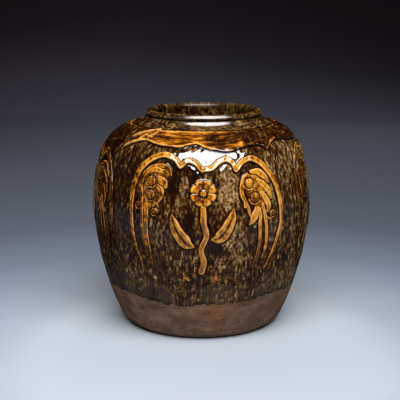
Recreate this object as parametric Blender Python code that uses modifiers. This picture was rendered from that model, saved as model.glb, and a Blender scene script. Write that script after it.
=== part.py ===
"""A wide-mouthed stoneware jar with four applied relief panels.

The body is thrown in sections and luted together. The scalloped band on the
shoulder and the flower reliefs of the four panels are pressed onto the wall.
All lengths are metres, the jar stands on z = 0 and its front panel faces -Y.
"""

import math

import bmesh
import bpy
import numpy as np

# Body of the jar
FOOT_RADIUS = 0.0919
BELLY_RADIUS = 0.1369
BELLY_HEIGHT = 0.1520
SEAT_RADIUS = 0.0860
SEAT_HEIGHT = 0.2520
WALL_THICKNESS = 0.0095
FLOOR_THICKNESS = 0.0120
SECTION_JOINT_HEIGHT = 0.1400
SECTION_JOINT_RISE = 0.0040

# Neck and lip, with each margin measured inwards from the edge of the seat
THROAT_MARGIN = 0.0230
COLLAR_TALL = 0.0102
COLLAR_FOOT_MARGIN = 0.0018
COLLAR_HEAD_MARGIN = 0.0138
COLLAR_EDGE = 0.0012
LIP_TALL = 0.0072
LIP_MARGIN = 0.0134
LIP_UNDERCUT = 0.0016

# Scalloped band on the shoulder, measured along the wall from the neck seat
BAND_MARGIN = 0.0030
BAND_TALL = 0.0367
BAND_THICKNESS = 0.0020

# Relief panels, measured along the wall and around the belly
PANEL_FOOT_MARGIN = 0.0895
PANEL_HEAD_MARGIN = 0.0038
BROAD_PANEL_MARGIN = 0.0135
NARROW_PANEL_MARGIN = 0.0235
FRAME_WIDTH = 0.0066
FRAME_RISE = 0.0027
STEM_WIDTH = 0.0066
STEM_RISE = 0.0026
STALK_WIDTH = 0.0054
STALK_RISE = 0.0024
LEAF_WIDTH = 0.0090
LEAF_RISE = 0.0024
BROAD_LEAF_WIDTH = 0.0145
BLOOM_RADIUS = 0.0073
BLOOM_RISE = 0.0036
BLOOM_SPACING = 0.0014
BUD_RADIUS = 0.0042
BUD_RISE = 0.0028
BLOSSOM_RADIUS = 0.0155
BLOSSOM_RISE = 0.0036

# Clearances: between clay sections, under the relief, and between reliefs
SEAM_GAP = 0.0003
LAY_GAP = 0.0003
RELIEF_GAP = 0.0006
WELD = 0.000001

# Counts
RING_STEPS = 48
BASE_RINGS = 4
OUTSIDE_RINGS = 11
INSIDE_RINGS = 7
LIP_RINGS = 8
BAND_STEPS = 96
BAND_ROWS = 9
BLOOM_STEPS = 10
BUD_STEPS = 8
BLOSSOM_PETALS = 8
STEPS_PER_PETAL = 4
CUTTER_SIDES = 16
PANELS = ("front", "right", "back", "left")

# Outer wall below the belly: (share of the belly height, share of the swell from foot to belly)
LOWER_WALL_SHARES = (
    (0.0, 0.0), (0.053, 0.224), (0.142, 0.376), (0.266, 0.542),
    (0.444, 0.724), (0.657, 0.889), (0.86, 0.98), (1.0, 1.0),
)

# Outer wall above the belly: (share of the rise to the neck seat, share of the draw-in)
UPPER_WALL_SHARES = (
    (0.154, 0.008), (0.424, 0.086), (0.64, 0.191), (0.802, 0.342),
    (0.91, 0.585), (0.9775, 0.775), (1.0, 1.0),
)

# Lower edge of the shoulder band over a panel: (share of the half panel, share of the depth)
BAND_EDGE_SHARES = (
    (-1.0, 0.66), (-0.95, 0.62), (-0.81, 0.69), (-0.74, 0.735), (-0.59, 0.80),
    (-0.42, 0.825), (-0.33, 0.815), (-0.23, 0.725), (-0.14, 0.68), (-0.03, 0.85),
    (0.06, 0.915), (0.14, 0.97), (0.23, 1.0), (0.32, 0.975), (0.48, 0.84),
    (0.61, 0.795), (0.75, 0.86), (0.83, 0.97), (0.94, 0.80), (1.0, 0.66),
)

# Section of a rolled strip or leaf: (share of half its width, share of its rise)
SECTION_SHARES = ((1, 0), (-1, 0), (-0.72, 0.68), (0, 1), (0.72, 0.68))

# Panel frame: (across, up, width share), with the cusps marked as corners
FRAME_SHARES = (
    (-0.56, 0.0, 0.50, False), (-0.78, 0.05, 0.50, False), (-0.91, 0.20, 0.55, False),
    (-0.975, 0.40, 0.60, False), (-0.99, 0.60, 0.75, False), (-0.98, 0.75, 0.90, False),
    (-0.90, 0.885, 1.0, False), (-0.79, 0.955, 1.0, False), (-0.66, 0.995, 1.0, False),
    (-0.54, 1.0, 1.0, False), (-0.43, 0.975, 0.90, False), (-0.345, 0.92, 0.80, True),
    (-0.26, 0.965, 0.90, False), (-0.16, 0.95, 0.90, False), (-0.06, 0.895, 0.85, True),
    (0.065, 0.91, 0.90, False), (0.16, 0.955, 1.0, False), (0.255, 0.975, 1.0, False),
    (0.33, 0.95, 0.90, False), (0.38, 0.89, 0.80, True), (0.50, 0.955, 0.90, False),
    (0.61, 0.97, 1.0, False), (0.73, 0.935, 1.0, False), (0.84, 0.865, 1.0, False),
    (0.94, 0.77, 0.95, False), (1.0, 0.62, 0.85, False), (1.015, 0.47, 0.70, False),
    (0.95, 0.31, 0.60, False), (0.86, 0.16, 0.55, False), (0.72, 0.03, 0.50, False),
    (0.43, -0.01, 0.50, False), (0.11, 0.045, 0.50, True),
    (-0.085, 0.0, 0.50, False), (-0.28, 0.05, 0.50, True),
)

# Turned flower heads: (share of the radius, share of the rise), from the middle outwards
BLOOM_SHARES = ((0, 1.0), (0.30, 0.90), (0.46, 0.60), (0.66, 0.88), (0.90, 0.66), (1.0, 0))
BUD_SHARES = ((0, 1.0), (0.62, 0.78), (1.0, 0))
BLOSSOM_SHARES = ((0, 1.0), (0.26, 0.88), (0.34, 0.50), (0.62, 0.84), (0.90, 0.62), (1.0, 0))
PETAL_DEPTH_SHARE = 0.10
PETAL_FOLD_SHARE = 0.16

# The flowering motif in the middle of a panel: (across, up, width share)
BLOSSOM_PLACE_SHARE = (-0.05, 0.72)
STEM_SHARES = (
    (-0.045, 0.50, 1.05), (-0.01, 0.40, 0.95), (-0.075, 0.29, 0.95),
    (-0.045, 0.18, 1.10), (-0.07, 0.11, 1.25),
)
LEFT_LEAF_SHARES = (
    (-0.165, 0.31, 0.18), (-0.24, 0.33, 0.85), (-0.34, 0.40, 1.0),
    (-0.41, 0.49, 0.70), (-0.44, 0.56, 0.15),
)
RIGHT_LEAF_SHARES = (
    (0.055, 0.365, 0.18), (0.13, 0.375, 0.85), (0.23, 0.44, 1.0),
    (0.30, 0.53, 0.70), (0.33, 0.60, 0.15),
)

# The two flower sprays of a panel: leaves and stalks as (across, up, width share) paths
SPRAYS = {
    "left": {
        "bloom_place_share": (-0.72, 0.80),
        "bloom_lean": 3,
        "leaf_shares": (
            ((-0.84, 0.67, 0.4), (-0.855, 0.75, 0.8), (-0.83, 0.825, 0.9), (-0.745, 0.885, 0.9),
             (-0.62, 0.895, 1.0), (-0.50, 0.845, 0.4)),
            ((-0.56, 0.875, 0.6), (-0.52, 0.80, 1.0), (-0.56, 0.735, 0.5)),
            ((-0.555, 0.755, 0.5), (-0.565, 0.695, 0.9), (-0.61, 0.635, 0.3)),
        ),
        "stalk_shares": (
            ((-0.775, 0.625, 1.45), (-0.767, 0.483, 1.45), (-0.755, 0.36, 1.3),
             (-0.735, 0.26, 1.1), (-0.725, 0.155, 0.7)),
            ((-0.873, 0.616, 0.4), (-0.77, 0.52, 0.5)),
            ((-0.664, 0.566, 0.4), (-0.76, 0.47, 0.5)),
        ),
        "bud_place_shares": ((-0.873, 0.616), (-0.664, 0.566)),
    },
    "right": {
        "bloom_place_share": (0.54, 0.785),
        "bloom_lean": 21,
        "leaf_shares": (
            ((0.475, 0.61, 0.3), (0.435, 0.69, 0.6), (0.43, 0.78, 0.7), (0.48, 0.855, 0.8),
             (0.59, 0.875, 1.0), (0.72, 0.845, 1.0), (0.81, 0.77, 0.4)),
            ((0.70, 0.85, 0.7), (0.765, 0.765, 1.0), (0.83, 0.69, 0.4)),
            ((0.755, 0.785, 0.7), (0.79, 0.69, 1.0), (0.765, 0.63, 0.7)),
            ((0.775, 0.66, 0.7), (0.71, 0.60, 0.75), (0.62, 0.545, 0.95), (0.545, 0.485, 0.3)),
        ),
        "stalk_shares": (
            ((0.72, 0.51, 0.95), (0.685, 0.43, 0.95), (0.675, 0.32, 0.85), (0.655, 0.21, 0.8),
             (0.61, 0.13, 0.75), (0.59, 0.08, 0.5)),
            ((0.72, 0.51, 0.95), (0.765, 0.42, 0.9), (0.778, 0.31, 0.8), (0.75, 0.205, 0.5)),
            ((0.87, 0.52, 0.4), (0.77, 0.41, 0.5)),
        ),
        "bud_place_shares": ((0.87, 0.52),),
    },
}

# Colours as the finished surfaces show them: (colour, roughness)
DARK_GLAZE = ((0.050, 0.028, 0.012, 1.0), 0.18)
AMBER_GLAZE = ((0.330, 0.135, 0.030, 1.0), 0.20)
BARE_CLAY = ((0.120, 0.080, 0.060, 1.0), 0.85)
OLIVE_GLAZE = ((0.070, 0.045, 0.022, 1.0), 0.22)

for old in list(bpy.data.objects):
    bpy.data.objects.remove(old, do_unlink=True)

jar = bpy.data.collections.new("glazed_jar")
cutters = bpy.data.collections.new("jar_cutters")
for group in (jar, cutters):
    bpy.context.scene.collection.children.link(group)


def material(name, finish):
    """A glaze or a bare clay as one plain surface."""
    colour, roughness = finish
    made = bpy.data.materials.new(name)
    made.use_nodes = True
    shader = made.node_tree.nodes["Principled BSDF"]
    shader.inputs["Base Color"].default_value = colour
    shader.inputs["Roughness"].default_value = roughness
    shader.inputs["Metallic"].default_value = 0.0
    return made


def smooth_path(points, count):
    """Even places along the smooth curve that passes through the given points."""
    points = np.array(points, dtype=float)
    chord = np.linalg.norm(np.diff(points, axis=0), axis=1)
    along = np.concatenate(([0.0], np.cumsum(chord)))
    slope = np.gradient(points, along, axis=0)
    place = np.linspace(0.0, along[-1], count)
    span = np.clip(np.searchsorted(along, place, side="right") - 1, 0, len(chord) - 1)
    share = ((place - along[span]) / chord[span])[:, None]
    reach = chord[span][:, None]
    back = 1 - share
    return (
        points[span] * (1 + 2 * share) * back**2
        + points[span + 1] * (1 + 2 * back) * share**2
        + reach * share * back * (slope[span] * back - slope[span + 1] * share)
    )


def wall_outline():
    """Radius, height and arc length up the outer wall, from the foot to the neck seat."""
    swell = BELLY_RADIUS - FOOT_RADIUS
    lower = [(FOOT_RADIUS + swell * s, BELLY_HEIGHT * h) for h, s in LOWER_WALL_SHARES]
    draw_in = BELLY_RADIUS - SEAT_RADIUS
    rise = SEAT_HEIGHT - BELLY_HEIGHT
    upper = [(BELLY_RADIUS - draw_in * s, BELLY_HEIGHT + rise * h) for h, s in UPPER_WALL_SHARES]
    path = smooth_path(lower + upper, 1200)
    arc = np.concatenate(([0.0], np.cumsum(np.linalg.norm(np.diff(path, axis=0), axis=1))))
    return path[:, 0], path[:, 1], arc


WALL_RADIUS, WALL_HEIGHT, WALL_ARC = wall_outline()
WALL_LENGTH = WALL_ARC[-1]


def arc_at(height):
    """Arc length up the wall at a height."""
    return float(np.interp(height, WALL_HEIGHT, WALL_ARC))


def wall_place(arc, stand=0.0):
    """Radius and height at an arc length, stood off along the wall's outward normal."""
    slope_r = np.gradient(WALL_RADIUS, WALL_ARC)
    slope_z = np.gradient(WALL_HEIGHT, WALL_ARC)
    radius = np.interp(arc, WALL_ARC, WALL_RADIUS) + stand * np.interp(arc, WALL_ARC, slope_z)
    height = np.interp(arc, WALL_ARC, WALL_HEIGHT) - stand * np.interp(arc, WALL_ARC, slope_r)
    return radius, height


def wall_points(start, end, count, stand=0.0):
    """Profile points along the wall between two arc lengths."""
    radius, height = wall_place(np.linspace(start, end, count), stand)
    return list(zip(radius.tolist(), height.tolist()))


def place(name, mesh, finish, parent=None):
    """Links a finished mesh as a named sub-part and shades its round faces smooth."""
    mesh.shade_smooth()
    mesh.set_sharp_from_angle(angle=math.radians(35))
    piece = bpy.data.objects.new(name, mesh)
    mesh.materials.append(material(name, finish))
    jar.objects.link(piece)
    piece.parent = parent
    return piece


def turned(name, profile, finish, closed=True):
    """A turned clay section: its profile runs down the outer side and back up the inner one."""
    points = [(radius, 0.0, height) for radius, height in profile]
    edges = [(i, i + 1) for i in range(len(points) - 1)]
    if closed:
        edges.append((len(points) - 1, 0))
    mesh = bpy.data.meshes.new(name)
    mesh.from_pydata(points, edges, [])
    piece = place(name, mesh, finish)
    screw = piece.modifiers.new("turning", "SCREW")
    screw.axis = "Z"
    screw.steps = RING_STEPS
    screw.render_steps = RING_STEPS
    screw.use_merge_vertices = True
    screw.merge_threshold = WELD
    screw.use_smooth_shade = True
    return piece


# Base slab: a flat disc, cut to the foot's curve
base_rim = wall_points(arc_at(FLOOR_THICKNESS), 0.0, BASE_RINGS)
turned(
    "base_disc",
    [(0.0, FLOOR_THICKNESS)] + base_rim + [(0.0, 0.0)],
    BARE_CLAY,
    closed=False,
)

# Lower wall: stands on the base slab and ends in a bevelled joint below the belly
lower_start = arc_at(FLOOR_THICKNESS + SEAM_GAP)
joint_arc = arc_at(SECTION_JOINT_HEIGHT)
lower_outside = wall_points(joint_arc, lower_start, OUTSIDE_RINGS)
lower_inside = wall_points(lower_start, joint_arc + SECTION_JOINT_RISE, INSIDE_RINGS, -WALL_THICKNESS)
lower_inner_foot = (lower_inside[0][0], FLOOR_THICKNESS + SEAM_GAP)
turned("lower_body", lower_outside + [lower_inner_foot] + lower_inside, DARK_GLAZE)

# Upper wall: seats on the bevelled joint and closes in to the throat
upper_outside = wall_points(WALL_LENGTH, joint_arc + SEAM_GAP, OUTSIDE_RINGS)
upper_inside = wall_points(
    joint_arc + SECTION_JOINT_RISE + SEAM_GAP, WALL_LENGTH, INSIDE_RINGS, -WALL_THICKNESS
)
throat_radius = SEAT_RADIUS - THROAT_MARGIN
throat_edge = (throat_radius, SEAT_HEIGHT - WALL_THICKNESS)
throat_head = (throat_radius, SEAT_HEIGHT)
turned("upper_body", upper_outside + upper_inside + [throat_edge, throat_head], DARK_GLAZE)

# Neck collar: a short cone on the shoulder, with a small upright edge at its foot
collar_foot = SEAT_HEIGHT + SEAM_GAP
collar_head = collar_foot + COLLAR_TALL
collar_foot_radius = SEAT_RADIUS - COLLAR_FOOT_MARGIN
collar_head_radius = SEAT_RADIUS - COLLAR_HEAD_MARGIN
turned(
    "neck_collar",
    [
        (collar_head_radius - COLLAR_EDGE, collar_head),
        (collar_head_radius, collar_head - COLLAR_EDGE),
        (collar_foot_radius - COLLAR_EDGE, collar_foot + COLLAR_EDGE),
        (collar_foot_radius, collar_foot),
        (throat_radius, collar_foot),
        (throat_radius, collar_head),
    ],
    OLIVE_GLAZE,
)

# Lip: a rolled ring on the collar, undercut where the two meet
lip_foot = collar_head + SEAM_GAP
lip_head = lip_foot + LIP_TALL
lip_half_tall = LIP_TALL / 2
lip_radius = SEAT_RADIUS - LIP_MARGIN
lip_foot_radius = lip_radius - LIP_UNDERCUT
lip_half_wide = (lip_radius - throat_radius) / 2
lip_crest = [
    (
        lip_radius - lip_half_wide * (1 - math.cos(angle)),
        lip_foot + lip_half_tall * (1 + math.sin(angle)),
    )
    for angle in np.radians(np.linspace(180, -30, LIP_RINGS))
]
turned(
    "lip_ring",
    lip_crest + [(lip_foot_radius, lip_foot), (throat_radius, lip_foot)],
    OLIVE_GLAZE,
)


def laid_on_wall(mesh):
    """Bends a flat mesh onto the wall: x runs round the belly, y up the wall, z stands off it."""
    flat = np.empty(len(mesh.vertices) * 3)
    mesh.vertices.foreach_get("co", flat)
    across, up, stand = flat.reshape(-1, 3).T
    angle = across / BELLY_RADIUS
    radius, height = wall_place(up, stand + LAY_GAP)
    bent = np.stack((radius * np.sin(angle), -radius * np.cos(angle), height), axis=1)
    mesh.vertices.foreach_set("co", bent.ravel())
    mesh.update()
    return mesh


# Shoulder band: one slab round the shoulder, its lower edge drawn into lobes over each panel
BAND_HEAD = WALL_LENGTH - BAND_MARGIN


def band_mesh():
    """An open strip round the wall, between a level head and the scalloped edge."""
    bm = bmesh.new()
    bmesh.ops.create_grid(bm, x_segments=BAND_STEPS, y_segments=BAND_ROWS, size=1)
    mesh = bpy.data.meshes.new("shoulder_band")
    bm.to_mesh(mesh)
    bm.free()
    grid = np.empty(len(mesh.vertices) * 3)
    mesh.vertices.foreach_get("co", grid)
    turn, drop, _ = grid.reshape(-1, 3).T
    quarter = turn * len(PANELS) / 2
    from_panel = (quarter - np.round(quarter)) * 2
    depth = BAND_TALL * np.interp(from_panel, *np.array(BAND_EDGE_SHARES).T)
    arc = BAND_HEAD - depth * (1 - drop) / 2
    flat = np.stack((turn * math.pi * BELLY_RADIUS, arc, np.zeros_like(arc)), axis=1)
    mesh.vertices.foreach_set("co", flat.ravel())
    return laid_on_wall(mesh)


def welded(mesh, recalculate=False):
    """Joins the points of a mesh that lie in one place."""
    bm = bmesh.new()
    bm.from_mesh(mesh)
    bmesh.ops.remove_doubles(bm, verts=bm.verts, dist=WELD)
    if recalculate:
        bmesh.ops.recalc_face_normals(bm, faces=bm.faces)
    bm.to_mesh(mesh)
    bm.free()
    return mesh


band = place("shoulder_band", welded(band_mesh()), AMBER_GLAZE)
slab = band.modifiers.new("slab", "SOLIDIFY")
slab.thickness = BAND_THICKNESS
slab.offset = 1.0


def evaluated_mesh(source):
    """The mesh of an object as its modifiers and bevels make it."""
    bpy.context.view_layer.update()
    depsgraph = bpy.context.evaluated_depsgraph_get()
    return bpy.data.meshes.new_from_object(source.evaluated_get(depsgraph))


def scratch_object(name, data):
    """A helper object among the cutters, hidden from the finished jar."""
    helper = bpy.data.objects.new(name, data)
    helper.hide_render = True
    helper.display_type = "WIRE"
    cutters.objects.link(helper)
    return helper


def section_outline(name, width, rise):
    """The closed half-round outline that a strip or a leaf is rolled with."""
    outline = bpy.data.curves.new(name, "CURVE")
    outline.dimensions = "2D"
    line = outline.splines.new("POLY")
    line.points.add(len(SECTION_SHARES) - 1)
    line.use_cyclic_u = True
    for point, (across, up) in zip(line.points, SECTION_SHARES):
        point.co = (across * width / 2, up * rise, 0.0, 1.0)
    return scratch_object(name, outline)


def rolled(path, section, resolution, closed=False):
    """A flat mesh of a strip that runs through (x, y, width share, corner) points."""
    curve = bpy.data.curves.new("rolled_path", "CURVE")
    curve.dimensions = "2D"
    curve.fill_mode = "NONE"
    curve.bevel_mode = "OBJECT"
    curve.bevel_object = section
    curve.use_fill_caps = True
    curve.resolution_u = resolution
    line = curve.splines.new("BEZIER")
    line.bezier_points.add(len(path) - 1)
    line.use_cyclic_u = closed
    for point, (x, y, width_share, corner) in zip(line.bezier_points, path):
        point.co = (x, y, 0.0)
        point.radius = width_share
        point.handle_left_type = "VECTOR" if corner else "AUTO"
        point.handle_right_type = point.handle_left_type
    helper = scratch_object("rolled_path", curve)
    mesh = evaluated_mesh(helper)
    mesh.transform(helper.matrix_world)
    bpy.data.objects.remove(helper, do_unlink=True)
    mesh.materials.clear()
    return welded(mesh, recalculate=True)


def turned_flat(shares, radius, rise, steps, centre):
    """A flat mesh of a small turned head that stands on the panel at a place."""
    points = [(share_r * radius, 0.0, share_h * rise) for share_r, share_h in shares]
    points.append((0.0, 0.0, 0.0))
    mesh = bpy.data.meshes.new("turned_head")
    mesh.from_pydata(points, [(i, i + 1) for i in range(len(points) - 1)], [])
    helper = scratch_object("turned_head", mesh)
    screw = helper.modifiers.new("turning", "SCREW")
    screw.axis = "Z"
    screw.steps = steps
    screw.render_steps = steps
    screw.use_merge_vertices = True
    screw.merge_threshold = WELD
    head = welded(evaluated_mesh(helper))
    bpy.data.objects.remove(helper, do_unlink=True)
    flat = np.empty(len(head.vertices) * 3)
    head.vertices.foreach_get("co", flat)
    flat = flat.reshape(-1, 3)
    flat[:, :2] += centre
    head.vertices.foreach_set("co", flat.ravel())
    return head


def petalled(head, centre, radius):
    """Draws the rim of a turned head into petals and folds the ground between them down."""
    flat = np.empty(len(head.vertices) * 3)
    head.vertices.foreach_get("co", flat)
    flat = flat.reshape(-1, 3)
    offset = flat[:, :2] - centre
    reach = np.linalg.norm(offset, axis=1) / radius
    wave = 0.5 - 0.5 * np.cos(BLOSSOM_PETALS * np.arctan2(offset[:, 1], offset[:, 0]))
    flat[:, :2] = centre + offset * (1 - PETAL_DEPTH_SHARE * wave * reach)[:, None]
    flat[:, 2] *= 1 - PETAL_FOLD_SHARE * wave * reach
    head.vertices.foreach_set("co", flat.ravel())
    return head


def combined(first, others, operation):
    """One mesh from a first mesh and others joined to it or cut from it."""
    body = scratch_object("combined", first)
    helpers = []
    for other in others:
        helper = scratch_object("other", other)
        helpers.append(helper)
        step = body.modifiers.new("step", "BOOLEAN")
        step.operation = operation
        step.solver = "EXACT"
        step.object = helper
    mesh = welded(evaluated_mesh(body))
    for helper in helpers + [body]:
        bpy.data.objects.remove(helper, do_unlink=True)
    return mesh


def clearance_post(centre, radius, rise):
    """A round post that cuts the room a flower head stands in."""
    bm = bmesh.new()
    reach = radius + RELIEF_GAP
    bmesh.ops.create_cone(
        bm, cap_ends=True, segments=CUTTER_SIDES, radius1=reach, radius2=reach, depth=rise * 4
    )
    bmesh.ops.translate(bm, verts=bm.verts, vec=(centre[0], centre[1], 0.0))
    mesh = bpy.data.meshes.new("clearance_post")
    bm.to_mesh(mesh)
    bm.free()
    return mesh


frame_section = section_outline("frame_section", FRAME_WIDTH, FRAME_RISE)
stem_section = section_outline("stem_section", STEM_WIDTH, STEM_RISE)
stalk_section = section_outline("stalk_section", STALK_WIDTH, STALK_RISE)
leaf_section = section_outline("leaf_section", LEAF_WIDTH, LEAF_RISE)
broad_section = section_outline("broad_section", BROAD_LEAF_WIDTH, LEAF_RISE)

PANEL_FOOT = PANEL_FOOT_MARGIN
PANEL_TALL = BAND_HEAD - BAND_TALL - PANEL_HEAD_MARGIN - PANEL_FOOT
QUARTER_WIDE = 2 * math.pi * BELLY_RADIUS / len(PANELS)


def relief_panel(side, margin, parent):
    """The frame, the middle motif and the two sprays of one panel."""
    half_wide = QUARTER_WIDE / 2 - margin

    def at(across, up):
        return np.array((across * half_wide, PANEL_FOOT + up * PANEL_TALL))

    def path(shares):
        return [(*at(across, up), width, any(corner)) for across, up, width, *corner in shares]

    def add(name, mesh):
        place(f"{side}_{name}", laid_on_wall(mesh), AMBER_GLAZE, parent)

    add("frame", rolled(path(FRAME_SHARES), frame_section, 2, closed=True))

    # Middle motif: a petalled blossom over a bent stem with a pair of broad leaves
    blossom_at = at(*BLOSSOM_PLACE_SHARE)
    blossom = turned_flat(
        BLOSSOM_SHARES, BLOSSOM_RADIUS, BLOSSOM_RISE, BLOSSOM_PETALS * STEPS_PER_PETAL, blossom_at
    )
    add("blossom", petalled(blossom, blossom_at, BLOSSOM_RADIUS))
    blossom_foot = blossom_at[1] - BLOSSOM_RADIUS - 2 * RELIEF_GAP
    stem = path(STEM_SHARES)
    stem_head = (blossom_at[0], blossom_foot - RELIEF_GAP, stem[0][2], False)
    add("stem", rolled([stem_head] + stem[1:], stem_section, 3))
    add("leaf_left", rolled(path(LEFT_LEAF_SHARES), broad_section, 2))
    add("leaf_right", rolled(path(RIGHT_LEAF_SHARES), broad_section, 2))

    # Sprays: two ringed flower heads among leaves, over long stalks with buds
    for spray, plan in SPRAYS.items():
        upper_at = at(*plan["bloom_place_share"])
        lean = math.radians(plan["bloom_lean"])
        pitch = 2 * BLOOM_RADIUS + BLOOM_SPACING
        lower_at = upper_at + pitch * np.array((math.sin(lean), -math.cos(lean)))
        posts = []
        for level, centre in (("upper", upper_at), ("lower", lower_at)):
            bloom = turned_flat(BLOOM_SHARES, BLOOM_RADIUS, BLOOM_RISE, BLOOM_STEPS, centre)
            add(f"{spray}_bloom_{level}", bloom)
            posts.append(clearance_post(centre, BLOOM_RADIUS, BLOOM_RISE))
        leaves = [rolled(path(leaf), leaf_section, 2) for leaf in plan["leaf_shares"]]
        crest = combined(leaves[0], leaves[1:], "UNION")
        add(f"{spray}_crest", combined(crest, posts, "DIFFERENCE"))
        stalks = [rolled(path(stalk), stalk_section, 2) for stalk in plan["stalk_shares"]]
        buds = [
            turned_flat(BUD_SHARES, BUD_RADIUS, BUD_RISE, BUD_STEPS, at(*bud))
            for bud in plan["bud_place_shares"]
        ]
        sheaf = combined(stalks[0], stalks[1:] + buds, "UNION")
        add(f"{spray}_stalks", combined(sheaf, posts, "DIFFERENCE"))


for number, side in enumerate(PANELS):
    turn = bpy.data.objects.new(f"{side}_panel", None)
    turn.rotation_euler.z = 2 * math.pi * number / len(PANELS)
    jar.objects.link(turn)
    relief_panel(side, NARROW_PANEL_MARGIN if number % 2 else BROAD_PANEL_MARGIN, turn)
bpy.context.view_layer.update()
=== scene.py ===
"""The finished look of a wide-mouthed glazed stoneware jar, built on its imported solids.

The jar stands on z = 0, its front panel faces -Y, and all lengths are metres.
"""

import math

import bpy
import numpy as np
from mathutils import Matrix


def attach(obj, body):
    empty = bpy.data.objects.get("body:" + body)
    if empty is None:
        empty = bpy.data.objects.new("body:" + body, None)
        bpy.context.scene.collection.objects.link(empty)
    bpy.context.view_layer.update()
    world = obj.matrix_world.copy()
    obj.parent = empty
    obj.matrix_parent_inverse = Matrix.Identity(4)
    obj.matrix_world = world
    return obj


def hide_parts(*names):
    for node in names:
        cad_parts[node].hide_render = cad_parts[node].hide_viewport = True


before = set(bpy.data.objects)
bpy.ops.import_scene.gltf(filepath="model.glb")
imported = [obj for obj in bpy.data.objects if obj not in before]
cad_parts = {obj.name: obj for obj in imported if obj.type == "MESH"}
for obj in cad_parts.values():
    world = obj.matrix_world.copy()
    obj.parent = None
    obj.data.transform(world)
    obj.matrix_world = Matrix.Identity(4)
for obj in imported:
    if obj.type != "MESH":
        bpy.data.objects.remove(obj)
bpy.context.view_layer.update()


# Thrown wall
# The jar's body is thrown stoneware in two sections, luted together under the belly. A dark
# brown glaze was poured over it. It ran down in streaks and stopped in a wavy line above the foot.
FOOT_RADIUS = 0.0919
BELLY_RADIUS = 0.1369
BELLY_HEIGHT = 0.1520
SEAT_RADIUS = 0.0860
SEAT_HEIGHT = 0.2520
WALL_THICKNESS = 0.0095
FLOOR_THICKNESS = 0.0120
THROAT_RADIUS = 0.0630
SECTION_JOINT = 0.1400
NECK_LEAN = 0.0030
LEAN_FOOT, LEAN_HEAD = 0.215, 0.270
OUTLINE_STEPS, WALL_TURNS, OUTSIDE_ROWS, INSIDE_ROWS = 1200, 480, 120, 60
# Points closer than a tenth of a micrometre are one, and edges over this angle stay sharp
POINTS_PER_METRE = 1e7
SHARP_ANGLE = math.radians(72)
PANELS = ("front", "right", "back", "left")
PANEL_FOOT = 0.0895
PANEL_TALL = 0.15238
HALF_WIDE = dict(zip(PANELS, (0.09402, 0.08402, 0.09402, 0.08402)))

# Outer wall as (share of the height, share of the swell or of the draw-in), below and above the belly
LOWER_WALL = (
    (0, 0), (0.053, 0.224), (0.142, 0.376), (0.266, 0.542), (0.444, 0.724), (0.657, 0.889),
    (0.86, 0.98), (1, 1),
)
UPPER_WALL = (
    (0.154, 0.008), (0.424, 0.086), (0.64, 0.191), (0.802, 0.342), (0.91, 0.585), (0.9775, 0.775),
    (1, 1),
)

# Glaze line as (degrees round the jar, height), repeated on the unseen side
GLAZE_LINE = (
    (-180, 0.053), (-150, 0.0555), (-122, 0.052), (-95, 0.057), (-71, 0.0556), (-56, 0.0562),
    (-44, 0.0556), (-34, 0.0521), (-24, 0.0499), (-12, 0.0496), (-3, 0.0521), (7, 0.0521),
    (26, 0.0529), (34, 0.0551), (44, 0.0567), (56, 0.0543), (80, 0.056), (104, 0.0518),
    (131, 0.0545), (157, 0.0508), (180, 0.053),
)

# Patches of the glaze on a panel: (share of the half panel across, share of its height, spread
# across, spread up, how dark it pooled, how pale its crystals are)
PATCHES = (
    (-0.45, 0.81, 0.055, 0.13, 1.4, 0), (-0.39, 0.93, 0.1, 0.04, 0.9, 0),
    (-0.14, 0.86, 0.06, 0.1, 1.1, 0), (0.1, 0.84, 0.05, 0.09, 0.8, 0),
    (-0.22, 0.52, 0.06, 0.05, 1.1, 0), (-0.25, 0.39, 0.1, 0.05, 0.7, 0),
    (0.1, 0.29, 0.11, 0.07, 0.9, 0), (-0.29, 0.79, 0.07, 0.07, -0.3, 1.2),
    (0.275, 0.73, 0.17, 0.13, -0.4, 1.2), (0.25, 0.9, 0.12, 0.05, -0.2, 0.6),
    (-0.34, 0.62, 0.16, 0.09, -0.9, 0.3), (0.34, 0.43, 0.12, 0.08, -0.4, 0.9),
    (0.24, 0.33, 0.1, 0.06, 0, 0.9), (-0.1, 0.37, 0.08, 0.04, 0, 0.7), (0.1, 0.2, 0.2, 0.06, 0, 0.6),
)


def smooth_path(points, count):
    """Places on the curve through the points: each span is the cubic that meets the span's two
    ends with the slopes there, and the places are even in the length of the chords."""
    points = np.array(points, dtype=float)
    chord = np.linalg.norm(np.diff(points, axis=0), axis=1)
    along = np.concatenate(([0.0], np.cumsum(chord)))
    slope = np.gradient(points, along, axis=0)
    place = np.linspace(0.0, along[-1], count)
    span = np.clip(np.searchsorted(along, place, side="right") - 1, 0, len(chord) - 1)
    share = ((place - along[span]) / chord[span])[:, None]
    reach = chord[span][:, None]
    back = 1 - share
    return (
        points[span] * (1 + 2 * share) * back**2
        + points[span + 1] * (1 + 2 * back) * share**2
        + reach * share * back * (slope[span] * back - slope[span + 1] * share)
    )


OUTLINE = smooth_path(
    [(FOOT_RADIUS + (BELLY_RADIUS - FOOT_RADIUS) * s, BELLY_HEIGHT * h) for h, s in LOWER_WALL]
    + [
        (BELLY_RADIUS - (BELLY_RADIUS - SEAT_RADIUS) * s, BELLY_HEIGHT + (SEAT_HEIGHT - BELLY_HEIGHT) * h)
        for h, s in UPPER_WALL
    ],
    OUTLINE_STEPS,
)
OUTLINE_ARC = np.concatenate(([0.0], np.cumsum(np.linalg.norm(np.diff(OUTLINE, axis=0), axis=1))))
OUTLINE_SLOPE = np.gradient(OUTLINE, OUTLINE_ARC, axis=0)
WALL_LENGTH = OUTLINE_ARC[-1]


def arc_at(height):
    """Length up the outer wall to a height."""
    return float(np.interp(height, OUTLINE[:, 1], OUTLINE_ARC))


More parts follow.
